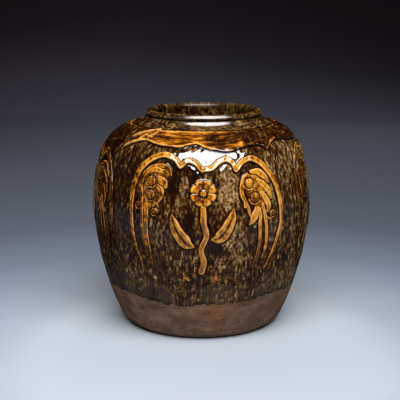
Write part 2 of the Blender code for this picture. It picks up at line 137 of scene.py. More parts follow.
def wall_place(arc, stand=0.0):
    """Radius and height at a length up the wall, moved out along the wall's normal by stand."""
    radius = np.interp(arc, OUTLINE_ARC, OUTLINE[:, 0])
    height = np.interp(arc, OUTLINE_ARC, OUTLINE[:, 1])
    slope_r = np.interp(arc, OUTLINE_ARC, OUTLINE_SLOPE[:, 0])
    slope_z = np.interp(arc, OUTLINE_ARC, OUTLINE_SLOPE[:, 1])
    return radius + stand * slope_z, height - stand * slope_r


def stood(radius, turn, height):
    """Points from radius, angle and height: (r sin a, -r cos a, z), with the neck leaning to the
    right by NECK_LEAN through a smooth step up the shoulder."""
    rise = np.clip((height - LEAN_FOOT) / (LEAN_HEAD - LEAN_FOOT), 0, 1)
    lean = NECK_LEAN * rise**2 * (3 - 2 * rise)
    return np.stack((radius * np.sin(turn) + lean, -radius * np.cos(turn), height), axis=-1)


def flow_at(turn, arc):
    """Where the glaze runs: a seamless place from the angle round the belly and the length up."""
    return np.stack((BELLY_RADIUS * np.sin(turn), -BELLY_RADIUS * np.cos(turn), arc), axis=-1)


def ripple(place, pitch, seed):
    """Slow hand-made unevenness in -1..1: three sines of unlike pitch, shifted by the seed."""
    turn = 2 * np.pi * place / pitch
    return (np.sin(turn + seed) + np.sin(0.617 * turn + 2.3 * seed) + np.sin(1.43 * turn + 4.1 * seed)) / 3


def sway(turn, waves, seed):
    """Slow unevenness round the jar in -1..1 that closes on itself: three whole numbers of waves."""
    slower, faster = waves * 2 // 3 + 1, waves * 3 // 2
    return (
        np.sin(waves * turn + seed) + np.sin(slower * turn + 2.3 * seed) + np.sin(faster * turn + 4.1 * seed)
    ) / 3


def grid_faces(rows, columns, wrap_rows=True, wrap_columns=False):
    """Corner numbers of the quads between neighbouring rows and columns of a grid of points."""
    number = np.arange(rows * columns).reshape(rows, columns)
    if wrap_rows:
        number = np.vstack((number, number[:1]))
    if wrap_columns:
        number = np.hstack((number, number[:, :1]))
    corners = (number[:-1, :-1], number[1:, :-1], number[1:, 1:], number[:-1, 1:])
    return np.stack(corners, axis=-1).reshape(-1, 4)


def placed(name, data):
    """An object in the scene for a mesh, a lamp or a camera."""
    thing = bpy.data.objects.new(name, data)
    bpy.context.scene.collection.objects.link(thing)
    return thing


def clay_piece(name, grids, fields, material, slot, *nodes):
    """A closed piece from (points, faces) grids: points that coincide are merged, so poles and
    seams close, faces are turned outwards by the sign of the volume, and each field is kept as a
    value at the points."""
    flats, faces, owner = [], [], []
    for number, (points, quads) in enumerate(grids):
        flat = points.reshape(-1, 3)
        corners = flat[quads]
        normal = np.cross(corners[:, 2] - corners[:, 0], corners[:, 3] - corners[:, 1])
        if np.einsum("ij,ij->", corners.mean(axis=1), normal) < 0:
            quads = quads[:, ::-1]
        faces.append(quads + sum(map(len, flats)))
        flats.append(flat)
        owner.append(np.full(len(flat), number))
    points, faces, owner = map(np.concatenate, (flats, faces, owner))
    keys = np.column_stack((np.round(points * POINTS_PER_METRE).astype(np.int64), owner))
    _, first, renumber = np.unique(keys, axis=0, return_index=True, return_inverse=True)
    faces = renumber.reshape(-1)[faces]
    repeated = faces == np.roll(faces, 1, axis=1)
    repeats = repeated.sum(axis=1)
    whole = faces[repeats == 0]
    thirds = faces[repeats == 1][~repeated[repeats == 1]].reshape(-1, 3)
    mesh = bpy.data.meshes.new(name)
    mesh.from_pydata(points[first].tolist(), [], whole.tolist() + thirds.tolist())
    mesh.shade_smooth()
    mesh.set_sharp_from_angle(angle=SHARP_ANGLE)
    for field, grids_values in fields.items():
        values = [np.asarray(v, dtype=float).reshape(len(f), -1) for v, f in zip(grids_values, flats)]
        values = np.concatenate(values)[first]
        kind, slot_name = ("FLOAT_VECTOR", "vector") if values.shape[1] == 3 else ("FLOAT", "value")
        mesh.attributes.new(field, kind, "POINT").data.foreach_set(slot_name, values.ravel())
    mesh.materials.append(material)
    piece = placed(name, mesh)
    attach(piece, "root")
    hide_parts(*nodes)


# The coat's index, which sets how strongly the glaze mirrors
COAT_IOR = 2.25


class Shade:
    """A material in the making. Its gloss is the coat's alone, apart from what specular adds."""

    def __init__(self, name, coat, coat_roughness=0.05, specular=0.0):
        self.material = bpy.data.materials.new(name)
        self.material.use_nodes = True
        self.tree = self.material.node_tree
        self.shader = self.tree.nodes["Principled BSDF"]
        self.finish(
            coat_weight=coat, coat_roughness=coat_roughness, coat_ior=COAT_IOR, specular_ior_level=specular
        )

    def node(self, kind, settings=(), sockets=(), output=0):
        """Adds a node: its settings first, then the values or links of its sockets."""
        made = self.tree.nodes.new(kind)
        for setting, value in dict(settings).items():
            if setting == "stops":
                ramp = made.color_ramp
                while len(ramp.elements) < len(value):
                    ramp.elements.new(0.5)
                for element, (place, colour) in zip(ramp.elements, value):
                    element.position = place
                    element.color = seen(colour)
            else:
                setattr(made, setting, value)
        for socket, value in dict(sockets).items():
            if isinstance(value, Value):
                self.tree.links.new(value.socket, made.inputs[socket])
            else:
                made.inputs[socket].default_value = value
        return Value(self, made.outputs[output])

    def field(self, name, output="Fac"):
        """A value that the piece's mesh keeps at its points."""
        return self.node("ShaderNodeAttribute", {"attribute_name": name}, output=output)

    def bump(self, height, distance):
        """A normal from a height in 0..1 that stands for a real distance."""
        return self.node("ShaderNodeBump", sockets={"Distance": distance, "Height": height})

    def finish(self, **sockets):
        """Gives the shader its links and constants."""
        for socket, value in sockets.items():
            name = socket.replace("_", " ").title().replace("Ior", "IOR")
            if isinstance(value, Value):
                self.tree.links.new(value.socket, self.shader.inputs[name])
            else:
                self.shader.inputs[name].default_value = value
        return self.material


class Value:
    """A socket that takes part in Python sums, which add Math nodes."""

    def __init__(self, shade, socket):
        self.shade = shade
        self.socket = socket

    def sum(self, operation, *values):
        return self.shade.node("ShaderNodeMath", {"operation": operation}, dict(enumerate(values)))

    def __add__(self, other):
        return self.sum("ADD", self, other)

    def __sub__(self, other):
        return self.sum("SUBTRACT", self, other)

    def __mul__(self, other):
        return self.sum("MULTIPLY", self, other)

    def __truediv__(self, other):
        return self.sum("DIVIDE", self, other)

    def __rsub__(self, other):
        return self.sum("SUBTRACT", other, self)

    __radd__ = __add__
    __rmul__ = __mul__

    def step(self, low, high):
        """0 below low, 1 above high, and smooth between them."""
        return self.shade.node(
            "ShaderNodeMapRange", {"interpolation_type": "SMOOTHSTEP"}, {0: self, 1: low, 2: high}
        )

    def vector(self, operation, other=(0, 0, 0), output="Value"):
        """Vector Math on this place and another."""
        return self.shade.node("ShaderNodeVectorMath", {"operation": operation}, {0: self, 1: other}, output)

    def stretched(self, across, up):
        """This place with its measures across and up scaled apart."""
        return self.vector("MULTIPLY", (across, across, up), "Vector")

    def axis(self, name):
        """One of this place's three measures."""
        return self.shade.node("ShaderNodeSeparateXYZ", sockets={0: self}, output=name)

    def noise(self, across, up, detail, roughness=0.5):
        """Cloudy noise of about 0.5 at this place, with a scale across and one up."""
        place = self.stretched(across, up)
        sockets = {"Vector": place, "Scale": 1, "Detail": detail, "Roughness": roughness}
        return self.shade.node("ShaderNodeTexNoise", sockets=sockets)

    def ramp(self, *stops):
        """A colour read at this value from (place, colour) stops."""
        return self.shade.node("ShaderNodeValToRGB", {"stops": stops}, {0: self})

    def blend(self, colour, share):
        """This colour with a share of another one over it."""
        colour = colour if isinstance(colour, Value) else seen(colour)
        return self.shade.node("ShaderNodeMix", {"data_type": "RGBA"}, {0: share, 6: self, 7: colour}, 2)


def seen(colour):
    """What to write for a colour that is seen as these 0..255 values on a screen."""
    scaled = np.array(colour) / 255
    linear = np.where(scaled <= 0.04045, scaled / 12.92, ((scaled + 0.055) / 1.055) ** 2.4)
    return (*linear.tolist(), 1.0)


DEEPEST_BROWN = (22, 6, 0)
DARK_BROWN = (42, 16, 1)
BROWN = (68, 39, 9)
OLIVE = (98, 71, 32)
TAN = (143, 114, 72)
PALE_TAN = (184, 157, 120)
CREAM = (190, 152, 108)
# A painted reflection of the pale floor, laid over the glaze low down
FLOOR_SHEEN_GREY = (68, 53, 42)
# Where the fire flashed the bare clay reddish, low on the front
FLASH_PLACE = (0.012, -0.1362, 0.050)


def ground_glaze(flow, dark):
    """The dark glaze's colour: streaks drawn out downwards, long runs and slow clouds are summed,
    and the sum is read from near black through brown and olive to tan."""
    streaks = flow.noise(350, 140, 2.5, 0.55)
    blots = flow.noise(210, 170, 1)
    runs = flow.noise(130, 20, 1)
    clouds = flow.noise(22, 14, 1)
    grain = flow.noise(640, 460, 1)
    tone = streaks * 0.54 + blots * 0.16 + runs * 0.14 + grain * 0.16 + (clouds - 0.5) * 0.20 - dark * 0.11
    colour = tone.ramp(
        (0.42, DEEPEST_BROWN), (0.47, DARK_BROWN), (0.518, BROWN),
        (0.562, OLIVE), (0.607, TAN), (0.665, PALE_TAN),
    )
    return colour, tone


def low_gloss(flow):
    """Weight of the gloss: less where the glaze is thin, low on the jar."""
    return flow.axis("Z").step(0.125, 0.225) * 0.93 + 0.07


def swell(flow):
    """Slow swells and runs of the glaze surface, which break up what it mirrors."""
    return flow.noise(95, 60, 1.5) * 2.2 + flow.noise(150, 26, 1) * 0.7


def wall_glaze():
    """The wall: streaked dark glaze above the glaze line, greyer low down, and bare clay below,
    with iron spots, pits and flashed reddish patches. The grey low down is a painted reflection of the
    pale floor, and a painted shadow runs along the foot where it meets the floor."""
    shade = Shade("streaked_dark_glaze", coat=1.0)
    flow = shade.field("flow", "Vector")
    above = shade.field("above")
    ground, tone = ground_glaze(flow, shade.field("deep"))
    crackle = (flow.noise(330, 290, 2, 0.6) * 0.8 + tone * 0.2).ramp(
        (0.39, (50, 26, 10)), (0.47, (98, 66, 31)), (0.54, (142, 106, 63)), (0.62, CREAM)
    )
    pale = shade.field("pale") + (tone - 0.5) * 2.6 + (flow.noise(75, 60, 2) - 0.5) * 1.6
    ground = ground.blend(crackle, pale.step(0.36, 0.95) * 0.9)
    # Greyer low down: a painted reflection of the pale floor
    low = (1 - above.step(0, 5)) * flow.noise(70, 40, 2).step(0.30, 0.60)
    ground = ground.blend(FLOOR_SHEEN_GREY, low * 0.60)
    edge = above + (flow.noise(150, 110, 3, 0.6) - 0.5) * 1.1
    glazed = edge.step(-0.03, 0.03)
    rim = edge.step(-0.05, 0.06) * (1 - edge.step(0.14, 0.60))
    ground = ground.blend((22, 13, 8), rim * 0.6)

    grit = flow.noise(420, 1000, 3, 0.7)
    clay = (grit * 0.55 + flow.noise(45, 70, 2) * 0.45).ramp(
        (0.38, (80, 62, 52)), (0.5, (104, 80, 65)), (0.62, (132, 103, 84))
    )
    clay = clay.blend((106, 66, 48), flow.noise(34, 60, 1).step(0.52, 0.70) * 0.35)
    clay = clay.blend((128, 80, 50), (1 - flow.vector("DISTANCE", FLASH_PLACE).step(0.002, 0.034)) * 0.55)
    spots = shade.node("ShaderNodeTexVoronoi", sockets={"Vector": flow.stretched(170, 210), "Scale": 1})
    pits = (1 - spots.step(0.14, 0.25)) * flow.noise(42, 55, 1).step(0.47, 0.56)
    clay = clay.blend((36, 22, 16), pits * 0.9)
    # A painted shadow along the bottom of the foot, where it meets the floor
    clay = clay.blend((14, 10, 9), (1 - shade.field("height").step(0.10, 0.24)) * 0.95)
    height = (grit * 0.6 - pits * 1.2) * (1 - glazed) + (tone * 0.8 + 0.5) * glazed
    return shade.finish(
        base_color=clay.blend(ground, glazed),
        roughness=(1 - glazed) * 0.5 + 0.35,
        coat_weight=glazed * low_gloss(flow),
        normal=shade.bump(height * 0.3 + swell(flow) * glazed, 0.0014),
    )


# Low waves in the skin of the glaze: (waves round the jar, pitch up the wall, start)
GLAZE_WAVES = (
    (61, 0.013, 0.4), (88, -0.017, 2.1), (47, 0.021, 4), (103, 0.031, 5.3), (72, -0.0115, 1.2),
)
WAVE_HEIGHT = 0.000075
WAVES_FROM, WAVES_FADE = 0.13, 0.07
RING_HEIGHT, RING_PITCH = 0.00002, 0.0085
LUMP_HEIGHT = 0.00025
# The finish lies this far inside the solids' wall, so that its waves don't leave it
SET_IN = 0.00015
# How much lighter the glaze is painted on the jar's right and darker on its left: painted light and painted
# shade
SIDE_LIGHT_PAINTED = 0.28


def throwing(turn, arc):
    """How far the wall strays from its curve: faint finger rings, slow lumps and, above the belly,
    the skin of the glaze, which is a sum of low waves in unlike directions."""
    rings = RING_HEIGHT * ripple(arc + 0.003 * np.sin(turn), RING_PITCH, 1.7)
    lumps = LUMP_HEIGHT * sway(turn, 4, 0.6) * np.sin(arc * 31)
    skin = sum(np.sin(waves * turn + 2 * np.pi * arc / pitch + start) for waves, pitch, start in GLAZE_WAVES)
    return rings + lumps + WAVE_HEIGHT * skin * np.clip((arc - WAVES_FROM) / WAVES_FADE, 0, 1) - SET_IN


def glaze_line(turn):
    """Height of the glaze line at an angle round the jar."""
    angle, height = np.array(GLAZE_LINE).T
    return np.interp(np.degrees(turn), angle, height)


def patch_sums(across, up, patches):
    """A sum for each amount that the patches hold, of amount * exp(-(distance / spread)^2)."""
    sums = 0
    for place_across, place_up, spread_across, spread_up, *amounts in patches:
        soft = np.exp(-(((across - place_across) / spread_across) ** 2) - ((up - place_up) / spread_up) ** 2)
        sums = sums + np.multiply.outer(amounts, soft)
    return sums


def glaze_patches(turn, arc):
    """How dark and how pale the glaze lies: each panel's patches, with every other panel the other
    way round, and painted lighter on the jar's right and darker on its left, as painted light and shade."""
    quarter = np.round(turn / (np.pi / 2))
    across = (turn - quarter * np.pi / 2) * BELLY_RADIUS / HALF_WIDE["front"] * np.where(quarter % 2, -1, 1)
    dark, pale = patch_sums(across, (arc - PANEL_FOOT) / PANEL_TALL, PATCHES)
    # The sine term paints light on the jar's right and shade on its left
    return dark - SIDE_LIGHT_PAINTED * np.sin(turn), pale


wall_material = wall_glaze()
TURN = np.linspace(-np.pi, np.pi, WALL_TURNS, endpoint=False)
# The wall is even at its two ends, and its unevenness grows over this length from them
EVEN_FOOT, EVEN_HEAD = 0.004, WALL_LENGTH - 0.0005
EVEN_FADE = 0.01


def wall_section(name, outside, inside, top, bottom, node):
    """A thrown section: the outer wall up, across the top end points, the inner wall down and
    across the bottom end points, all carried round the axis. The fields above and height are in
    centimetres."""
    turn, arc = np.meshgrid(TURN, outside, indexing="ij")
    fade = np.clip((EVEN_HEAD - arc) / EVEN_FADE, 0, 1) * np.clip((arc - EVEN_FOOT) / EVEN_FADE, 0, 1)
    radius, height = wall_place(arc, throwing(turn, arc) * fade)
    height = np.clip(height, FLOOR_THICKNESS, SEAT_HEIGHT)
    inner_radius, inner_height = wall_place(inside, -WALL_THICKNESS)
    rest = np.vstack((top, np.column_stack((inner_radius, inner_height)), bottom))
    rest = np.broadcast_to(rest, (len(TURN), *rest.shape))
    around = np.broadcast_to(TURN[:, None], rest.shape[:2])
    depth = np.broadcast_to(np.concatenate(([0] * len(top), inside, [0] * len(bottom))) + 1, around.shape)
    radius = np.hstack((radius, rest[..., 0]))
    height = np.hstack((height, rest[..., 1]))
    hidden = np.zeros(around.shape)
    dark, pale = glaze_patches(turn, arc)
    fields = {
        "flow": [np.concatenate((flow_at(turn, arc), flow_at(around, depth)), axis=1)],
        "above": [np.hstack(((height[:, : len(outside)] - glaze_line(turn)) * 100, hidden + 5))],
        # Inside the jar the glaze is painted darker, as painted shade within the mouth
        "deep": [np.hstack((dark, hidden + 0.4))],
        "pale": [np.hstack((pale, hidden))],
        "height": [height * 100],
    }
    turn = np.hstack((turn, around))
    faces = grid_faces(*turn.shape, wrap_columns=True)
    clay_piece(name, [(stood(radius, turn, height), faces)], fields, wall_material, "dark_glaze", node)


# Rows this close to the joint keep its edge crisp
JOINT_EDGE = 0.00006
floor_arc = arc_at(FLOOR_THICKNESS)
joint_arc = arc_at(SECTION_JOINT)
inner_head = WALL_LENGTH - 0.002
joint_middle = wall_place(joint_arc, -WALL_THICKNESS / 2)
foot_inside = wall_place(floor_arc, -WALL_THICKNESS)[0]
wall_section(
    "lower_wall",
    np.append(np.linspace(floor_arc, joint_arc - JOINT_EDGE, OUTSIDE_ROWS), joint_arc),
    np.linspace(joint_arc, floor_arc, INSIDE_ROWS)[:-1],
    [joint_middle],
    [(foot_inside, FLOOR_THICKNESS)],
    "lower_body",
)
wall_section(
    "upper_wall",
    np.append(joint_arc, np.linspace(joint_arc + JOINT_EDGE, WALL_LENGTH, OUTSIDE_ROWS)),
    np.linspace(inner_head, joint_arc, INSIDE_ROWS),
    [(THROAT_RADIUS, SEAT_HEIGHT), (THROAT_RADIUS, SEAT_HEIGHT - WALL_THICKNESS)],
    [joint_middle],
    "upper_body",
)


# Base slab
# The jar stands on a thick disc of the same clay, cut to the foot's curve and left bare. Its edge
# is worn round where it stands.
WORN_EDGE = 0.0012
WORN_REACH = 0.0014
SLAB_RINGS = 14


def foot_slab():
    """Half the slab's outline, out along the top, down the wall's curve, round the worn edge and in
    along the bottom, carried round the axis. At the rim its pattern runs on from the wall's."""
    arc = np.linspace(floor_arc, WORN_EDGE, 12)
    radius, height = wall_place(arc)
    top = np.linspace(0, radius[0], SLAB_RINGS)[:-1]
    worn = np.radians(np.linspace(15, 90, 6))
    corner = FOOT_RADIUS - WORN_EDGE
    bottom = np.linspace(corner, 0, SLAB_RINGS)[1:]
    radius = np.concatenate((top, radius, corner + WORN_REACH * np.cos(worn), bottom))
    worn_height = WORN_EDGE - WORN_EDGE * np.sin(worn)
    height = np.concatenate((np.full(len(top), FLOOR_THICKNESS), height, worn_height, np.zeros(len(bottom))))
    turn, place = np.meshgrid(TURN, np.arange(len(radius)), indexing="ij")
    radius, height = radius[place], height[place]
    points = stood(radius, turn, height)
    on_wall = (radius > FOOT_RADIUS - 0.002)[..., None]
    none = np.zeros(turn.shape)
    fields = {
        "flow": [np.where(on_wall, flow_at(turn, height), points)],
        "above": [none - 5],
        "deep": [none],
        "pale": [none],
        "height": [height * 100],
    }
    faces = grid_faces(*turn.shape)
    clay_piece("foot_slab", [(points, faces)], fields, wall_material, "bare_clay", "base_disc")


foot_slab()


# Neck collar and lip
# A short cone of clay closes the shoulder, with a step at its foot. The lip is a rolled ring on it,
# undercut where the two meet. The glaze over both is thinner and olive, and worn pale on the crest.
COLLAR_FOOT = 0.2520
COLLAR_TALL = 0.01065
LIP_FOOT = 0.2628
RING_SWAY = 0.00018
# Near black of glaze pooled in hollows, which also stands for painted shade there
POOL_AND_SHADE_BLACK = (12, 3, 0)
# Where round the jar the glaze is worn most, and how far that spreads
WORN_TURN, WORN_SPREAD = -0.95, 0.55


def olive_glaze(name, coat_roughness):
    """Thin olive brown glaze, mottled, pale on the worn edges and dark in the undercut and at the
    step, with pooled glaze and painted shade there.
    """
    shade = Shade(name, 1.0, coat_roughness)
    flow = shade.field("flow", "Vector")
    mottle = flow.noise(130, 190, 2.5, 0.6)
    colour = (mottle * 0.65 + flow.noise(50, 50, 2) * 0.35).ramp(
        (0.41, (24, 9, 2)), (0.49, (60, 37, 12)), (0.56, (102, 73, 34)), (0.64, (146, 115, 72))
    )
    worn = (shade.field("thin") + (mottle - 0.5) * 1.4).step(0.88, 1.30)
    pool = shade.field("pool")
    return shade.finish(
        base_color=colour.blend(CREAM, worn * 0.75).blend(POOL_AND_SHADE_BLACK, pool),
        roughness=0.35,
        coat_weight=(1 - pool.step(0.0, 0.8)) * 0.8,
        normal=shade.bump(mottle * 0.5 + swell(flow), 0.0009),
    )


def neck_piece(name, foot, material, node, *stretches):
    """A ring of clay: a closed profile carried round the axis. Each stretch of it is a count and
    rows of (radius, height above the ring's foot, thin, pool), and it becomes as many places on the
    smooth curve through its rows, spread by distance and not by glaze."""
    weight = (1, 1, 0.001, 0.001)
    profile = np.vstack([
        smooth_path((np.array(rows) + (0, foot, 0, 0)) * weight, count) / weight for count, rows in stretches
    ])
    turn, place = np.meshgrid(TURN, np.arange(len(profile)), indexing="ij")
    radius, height, thin, pool = np.moveaxis(profile[place], -1, 0)
    radius = radius + RING_SWAY * sway(turn, 5, len(name)) * (radius > THROAT_RADIUS + 0.002)
    worn = 0.12 * sway(turn, 9, 2.0) - 0.16 + 0.22 * np.exp(-(((turn - WORN_TURN) / WORN_SPREAD) ** 2))
    fields = {
        "flow": [flow_at(turn, height * 1.2 - radius)],
        "thin": [thin + worn],
        # Inside the throat the glaze is painted dark, as painted shade within the mouth
        "pool": [np.where(radius < THROAT_RADIUS + 0.0005, 0.6, pool)],
    }
    faces = grid_faces(*turn.shape, wrap_columns=True)
    clay_piece(name, [(stood(radius, turn, height), faces)], fields, material, "olive_glaze", node)


neck_piece(
    "neck_collar_glazed", COLLAR_FOOT, olive_glaze("olive_collar_glaze", 0.19), "neck_collar",
    (44, (
        (0.0842, 0, 0, 1), (0.0843, 0.0008, 0.1, 1), (0.0836, 0.0016, 0.85, 0.2),
        (0.0818, 0.0022, 0.7, 0), (0.0788, 0.0036, 0.3, 0), (0.0762, 0.0054, 0.3, 0),
        (0.0744, 0.0074, 0.35, 0), (0.0732, 0.0094, 0.5, 0), (0.0722, 0.0103, 0.4, 0.5),
        (0.0710, COLLAR_TALL, 0, 1),
    )),
    (10, ((THROAT_RADIUS, COLLAR_TALL, 0.2, 0), (THROAT_RADIUS, 0, 0.2, 0))),
)
neck_piece(
    "rolled_lip", LIP_FOOT, olive_glaze("olive_lip_glaze", 0.24), "lip_ring",
    (2, ((0.0708, 0, 0, 1), (0.0709, 0.0004, 0, 0.9))),
    (44, (
        (0.0712, 0.0008, 0.15, 0.7), (0.07215, 0.0017, 0.2, 0.2), (0.0726, 0.0028, 0.3, 0),
        (0.07225, 0.0040, 0.4, 0), (0.07145, 0.0052, 0.5, 0), (0.07055, 0.0063, 0.75, 0),
        # The inner side of the roll is painted darker towards the throat, as painted shade inside the mouth
        (0.0693, 0.00703, 0.95, 0), (0.0677, 0.00717, 0.9, 0), (0.0660, 0.0067, 0.7, 0.25),
        (0.0646, 0.0056, 0.45, 0.4), (0.0636, 0.0043, 0.25, 0.45), (0.0631, 0.0030, 0.15, 0.3),
    )),
    (4, ((THROAT_RADIUS, 0.0018, 0.15, 0), (THROAT_RADIUS, 0, 0.15, 0))),
)


# Shoulder band
# A slab of clay is laid round the shoulder under the collar. Its lower edge is cut into lobes with
# a hooked tail, and the amber glaze broke pale along both edges.
BAND_HEAD = WALL_LENGTH - 0.0030
BAND_THICKNESS = 0.0021
BAND_ROUND = 0.0055
BAND_TURNS = 900
STROKE_WIDTH = 0.0024
STROKE_RISE = 0.0032
DEGREE_LENGTH = 0.0024
# Where round the jar the band's glaze broke thin, and how far that spreads
BROKE_TURN, BROKE_SPREAD = -0.30, 0.50
AMBER = (168, 98, 14)
DEEP_AMBER = (98, 48, 4)
LIGHT_AMBER = (210, 142, 40)
PALE_GOLD = (233, 179, 106)
# How freely the glaze broke over each panel's relief, how glossy the relief is and how far it
# stands out, because the glaze drowned the side panels. The side panels' relief is also painted
# darker, as painted shade where the light falls off to the sides.
GLAZE_BREAK_AND_SHADE = dict(zip(PANELS, (1.0, 0.24, 0.80, 0.14)))
GLOSS = dict(zip(PANELS, (1.0, 0.25, 1.0, 0.35)))
STANDING = dict(zip(PANELS, (1.0, 0.44, 0.95, 0.42)))
# How much thinner the glaze lies on the combed strokes beside each panel
STROKE_THIN = dict(zip(PANELS, (0.16, 0.36, 0.16, 0.16)))
# Lower edge over a quarter of the jar: (degrees from the panel's middle, height on the wall)
BAND_EDGE = (
    (-53.2, 0.2336), (-50.2, 0.237), (-46.7, 0.2409), (-42.7, 0.2426), (-36.5, 0.2409),
    (-33.2, 0.2399), (-26.5, 0.2383), (-22.5, 0.238), (-14.8, 0.238), (-10.3, 0.2401),
    (-6.2, 0.2409), (-1.3, 0.2372), (2.7, 0.2355), (6.5, 0.234), (10.3, 0.2331), (14.3, 0.2338),
    (21.7, 0.2374), (27.3, 0.2385), (32.5, 0.2376), (35, 0.2356), (36.8, 0.2336),
)
# Combed strokes at the tail of each lobe, as (degrees from the panel's middle, height on the wall)
BAND_STROKES = (
    ((-53.2, 0.2336), (-49.7, 0.2379), (-45.5, 0.2408), (-41.4, 0.2424)),
    ((-53.7, 0.2433), (-51, 0.2459), (-47.3, 0.2486), (-42.3, 0.2508), (-38.4, 0.2518)),
    ((-45.7, 0.2414), (-45.3, 0.2437), (-43.8, 0.2462), (-39.8, 0.2459), (-37.5, 0.2454)),
    ((-40.2, 0.244), (-38.7, 0.2465), (-37, 0.2484), (-36.3, 0.2505)),
)
# Where the glaze on the front of the band lies thinner or thicker: (degrees, share of the band's
# height, spread of each, how much thinner)
BAND_PATCHES = (
    (-24, 0.9, 18, 0.07, 0.42), (14, 0.84, 16, 0.06, 0.28), (22, 0.62, 12, 0.06, 0.25),
    (0, 0.42, 6, 0.3, -0.26), (8.5, 0.33, 2.2, 0.12, 0.45), (12, 0.2, 2.4, 0.13, 0.8),
    (16.5, 0.24, 2, 0.12, 0.65), (20.5, 0.16, 1.6, 0.12, 0.7), (29, 0.35, 6, 0.35, -0.06),
    (-24, 0.3, 9, 0.1, -0.15), (-33, 0.5, 6, 0.1, -0.15), (-14, 0.55, 6, 0.08, -0.2),
    (-68, 0.96, 26, 0.05, 0.42), (42, 0.95, 16, 0.05, 0.26), (-5, 0.6, 4, 0.12, 0.2),
)


def foot_of_band(turn):
    """Length up the wall of the band's lower edge: the same edge repeats over each quarter."""
    angle, height = np.array(BAND_EDGE).T
    edge = smooth_path(np.column_stack((angle * DEGREE_LENGTH, height)), 1200)
    angles = np.linspace(angle[0], angle[-1], 400)
    heights = np.interp(angles * DEGREE_LENGTH, *edge.T)
    quarter = (np.degrees(turn) - angle[0]) % 90 + angle[0]
    return np.interp(np.interp(quarter, angles, heights), OUTLINE[:, 1], OUTLINE_ARC)


def relief_glaze(name, grain, slow, stops, dark=0.0):
    """Glaze over applied clay: dark where it lies thick, amber on the flats, pale gold where it
    broke thin over an edge, and near black where it pooled beside a foot, which also paints the shade there."""
    shade = Shade(name, coat=1.0)
    flow = shade.field("flow", "Vector")
    thin = shade.field("thin")
    pool = shade.field("pool")
    ground, tone = ground_glaze(flow, dark)
    streaks = flow.noise(*grain, 2.5, 0.6)
    body = flow.noise(*slow, 2) * 0.4 + streaks * 0.6
    flats = (body + (thin - 0.5) * 0.32).ramp(*stops)
    colour = ground.blend(flats, (thin + (streaks - 0.5) * 0.6).step(0.14, 0.42))
    colour = colour.blend(PALE_GOLD, (thin + (body - 0.5) * 2.0).step(0.72, 1.14) * 0.8)
    low = 1 - flow.axis("Z").step(0.145, 0.205)
    colour = colour.blend((158, 114, 70), low * thin.step(0.2, 0.5) * 0.38)
    gloss = (1 - pool * 0.9) * (1 - thin.step(0.58, 0.85) * 0.92) * shade.field("gloss")
    return shade.finish(
        base_color=colour.blend(POOL_AND_SHADE_BLACK, pool * 0.92),
        roughness=0.35,
        coat_weight=gloss.sum("MINIMUM", gloss, 1.0) * low_gloss(flow),
        normal=shade.bump(tone * 0.15 + streaks * 0.25 + swell(flow) * 0.6, 0.0013),
    )


def clay_section(*rows, thin=0.28, pools_and_shade=(0.8, 1, 1, 0.75, 0.35)):
    """Half a section of applied clay, in rows of (share of half the width, distance beyond it,
    share of the rise, distance off the wall, thin, pool). The rows given run from the middle out
    and leave the distances out. The foot after them meets the wall and comes back underneath."""
    foot = (
        (1, 0.0001, 0.34, 0, thin, 0), (1, 0.00035, 0.16, 0.00002, 0.12, 0),
        (1, 0.0008, 0.05, 0.00006, 0.04, 0), (1, 0.0014, 0, 0.00008, 0, 0),
        (1, 0.0021, 0, 0.00003, 0, 0), (1, 0.0029, 0, -0.00006, 0, 0),
        (1, 0.0029, 0, -0.0008, 0, 0), (0, 0, 0, -0.0008, 0, 0),
    )
    section = np.array([(share, 0, rise, 0, *glaze) for share, rise, *glaze in rows] + [*foot])
    section[len(rows) : len(rows) + len(pools_and_shade), 5] = pools_and_shade
    return section


PAD_EDGE = (0.98, 0.55, 0.5, 0.25)
PAD = clay_section(
    (0, 0.95, 0.46, 0), (0.28, 0.955, 0.48, 0), (0.5, 0.97, 0.54, 0), (0.66, 0.99, 0.66, 0),
    (0.77, 0.98, 0.88, 0), (0.86, 0.91, 0.98, 0), (0.93, 0.76, 0.8, 0), PAD_EDGE,
)
amber_material = relief_glaze(
    "amber_relief_glaze", (300, 170), (80, 60),
    ((0.375, (66, 32, 5)), (0.44, DEEP_AMBER), (0.505, AMBER), (0.585, LIGHT_AMBER)),
)
band_material = relief_glaze(
    "streaked_band_glaze", (60, 400), (24, 170),
    ((0.42, DARK_BROWN), (0.48, DEEP_AMBER), (0.55, AMBER), (0.62, LIGHT_AMBER)), dark=0.4,
)


def laid(turn, arc, stand):
    """Points stood off the thrown wall, at an angle round it and a length up it."""
    radius, height = wall_place(arc, stand + throwing(turn, arc))
    return stood(radius, turn, height)


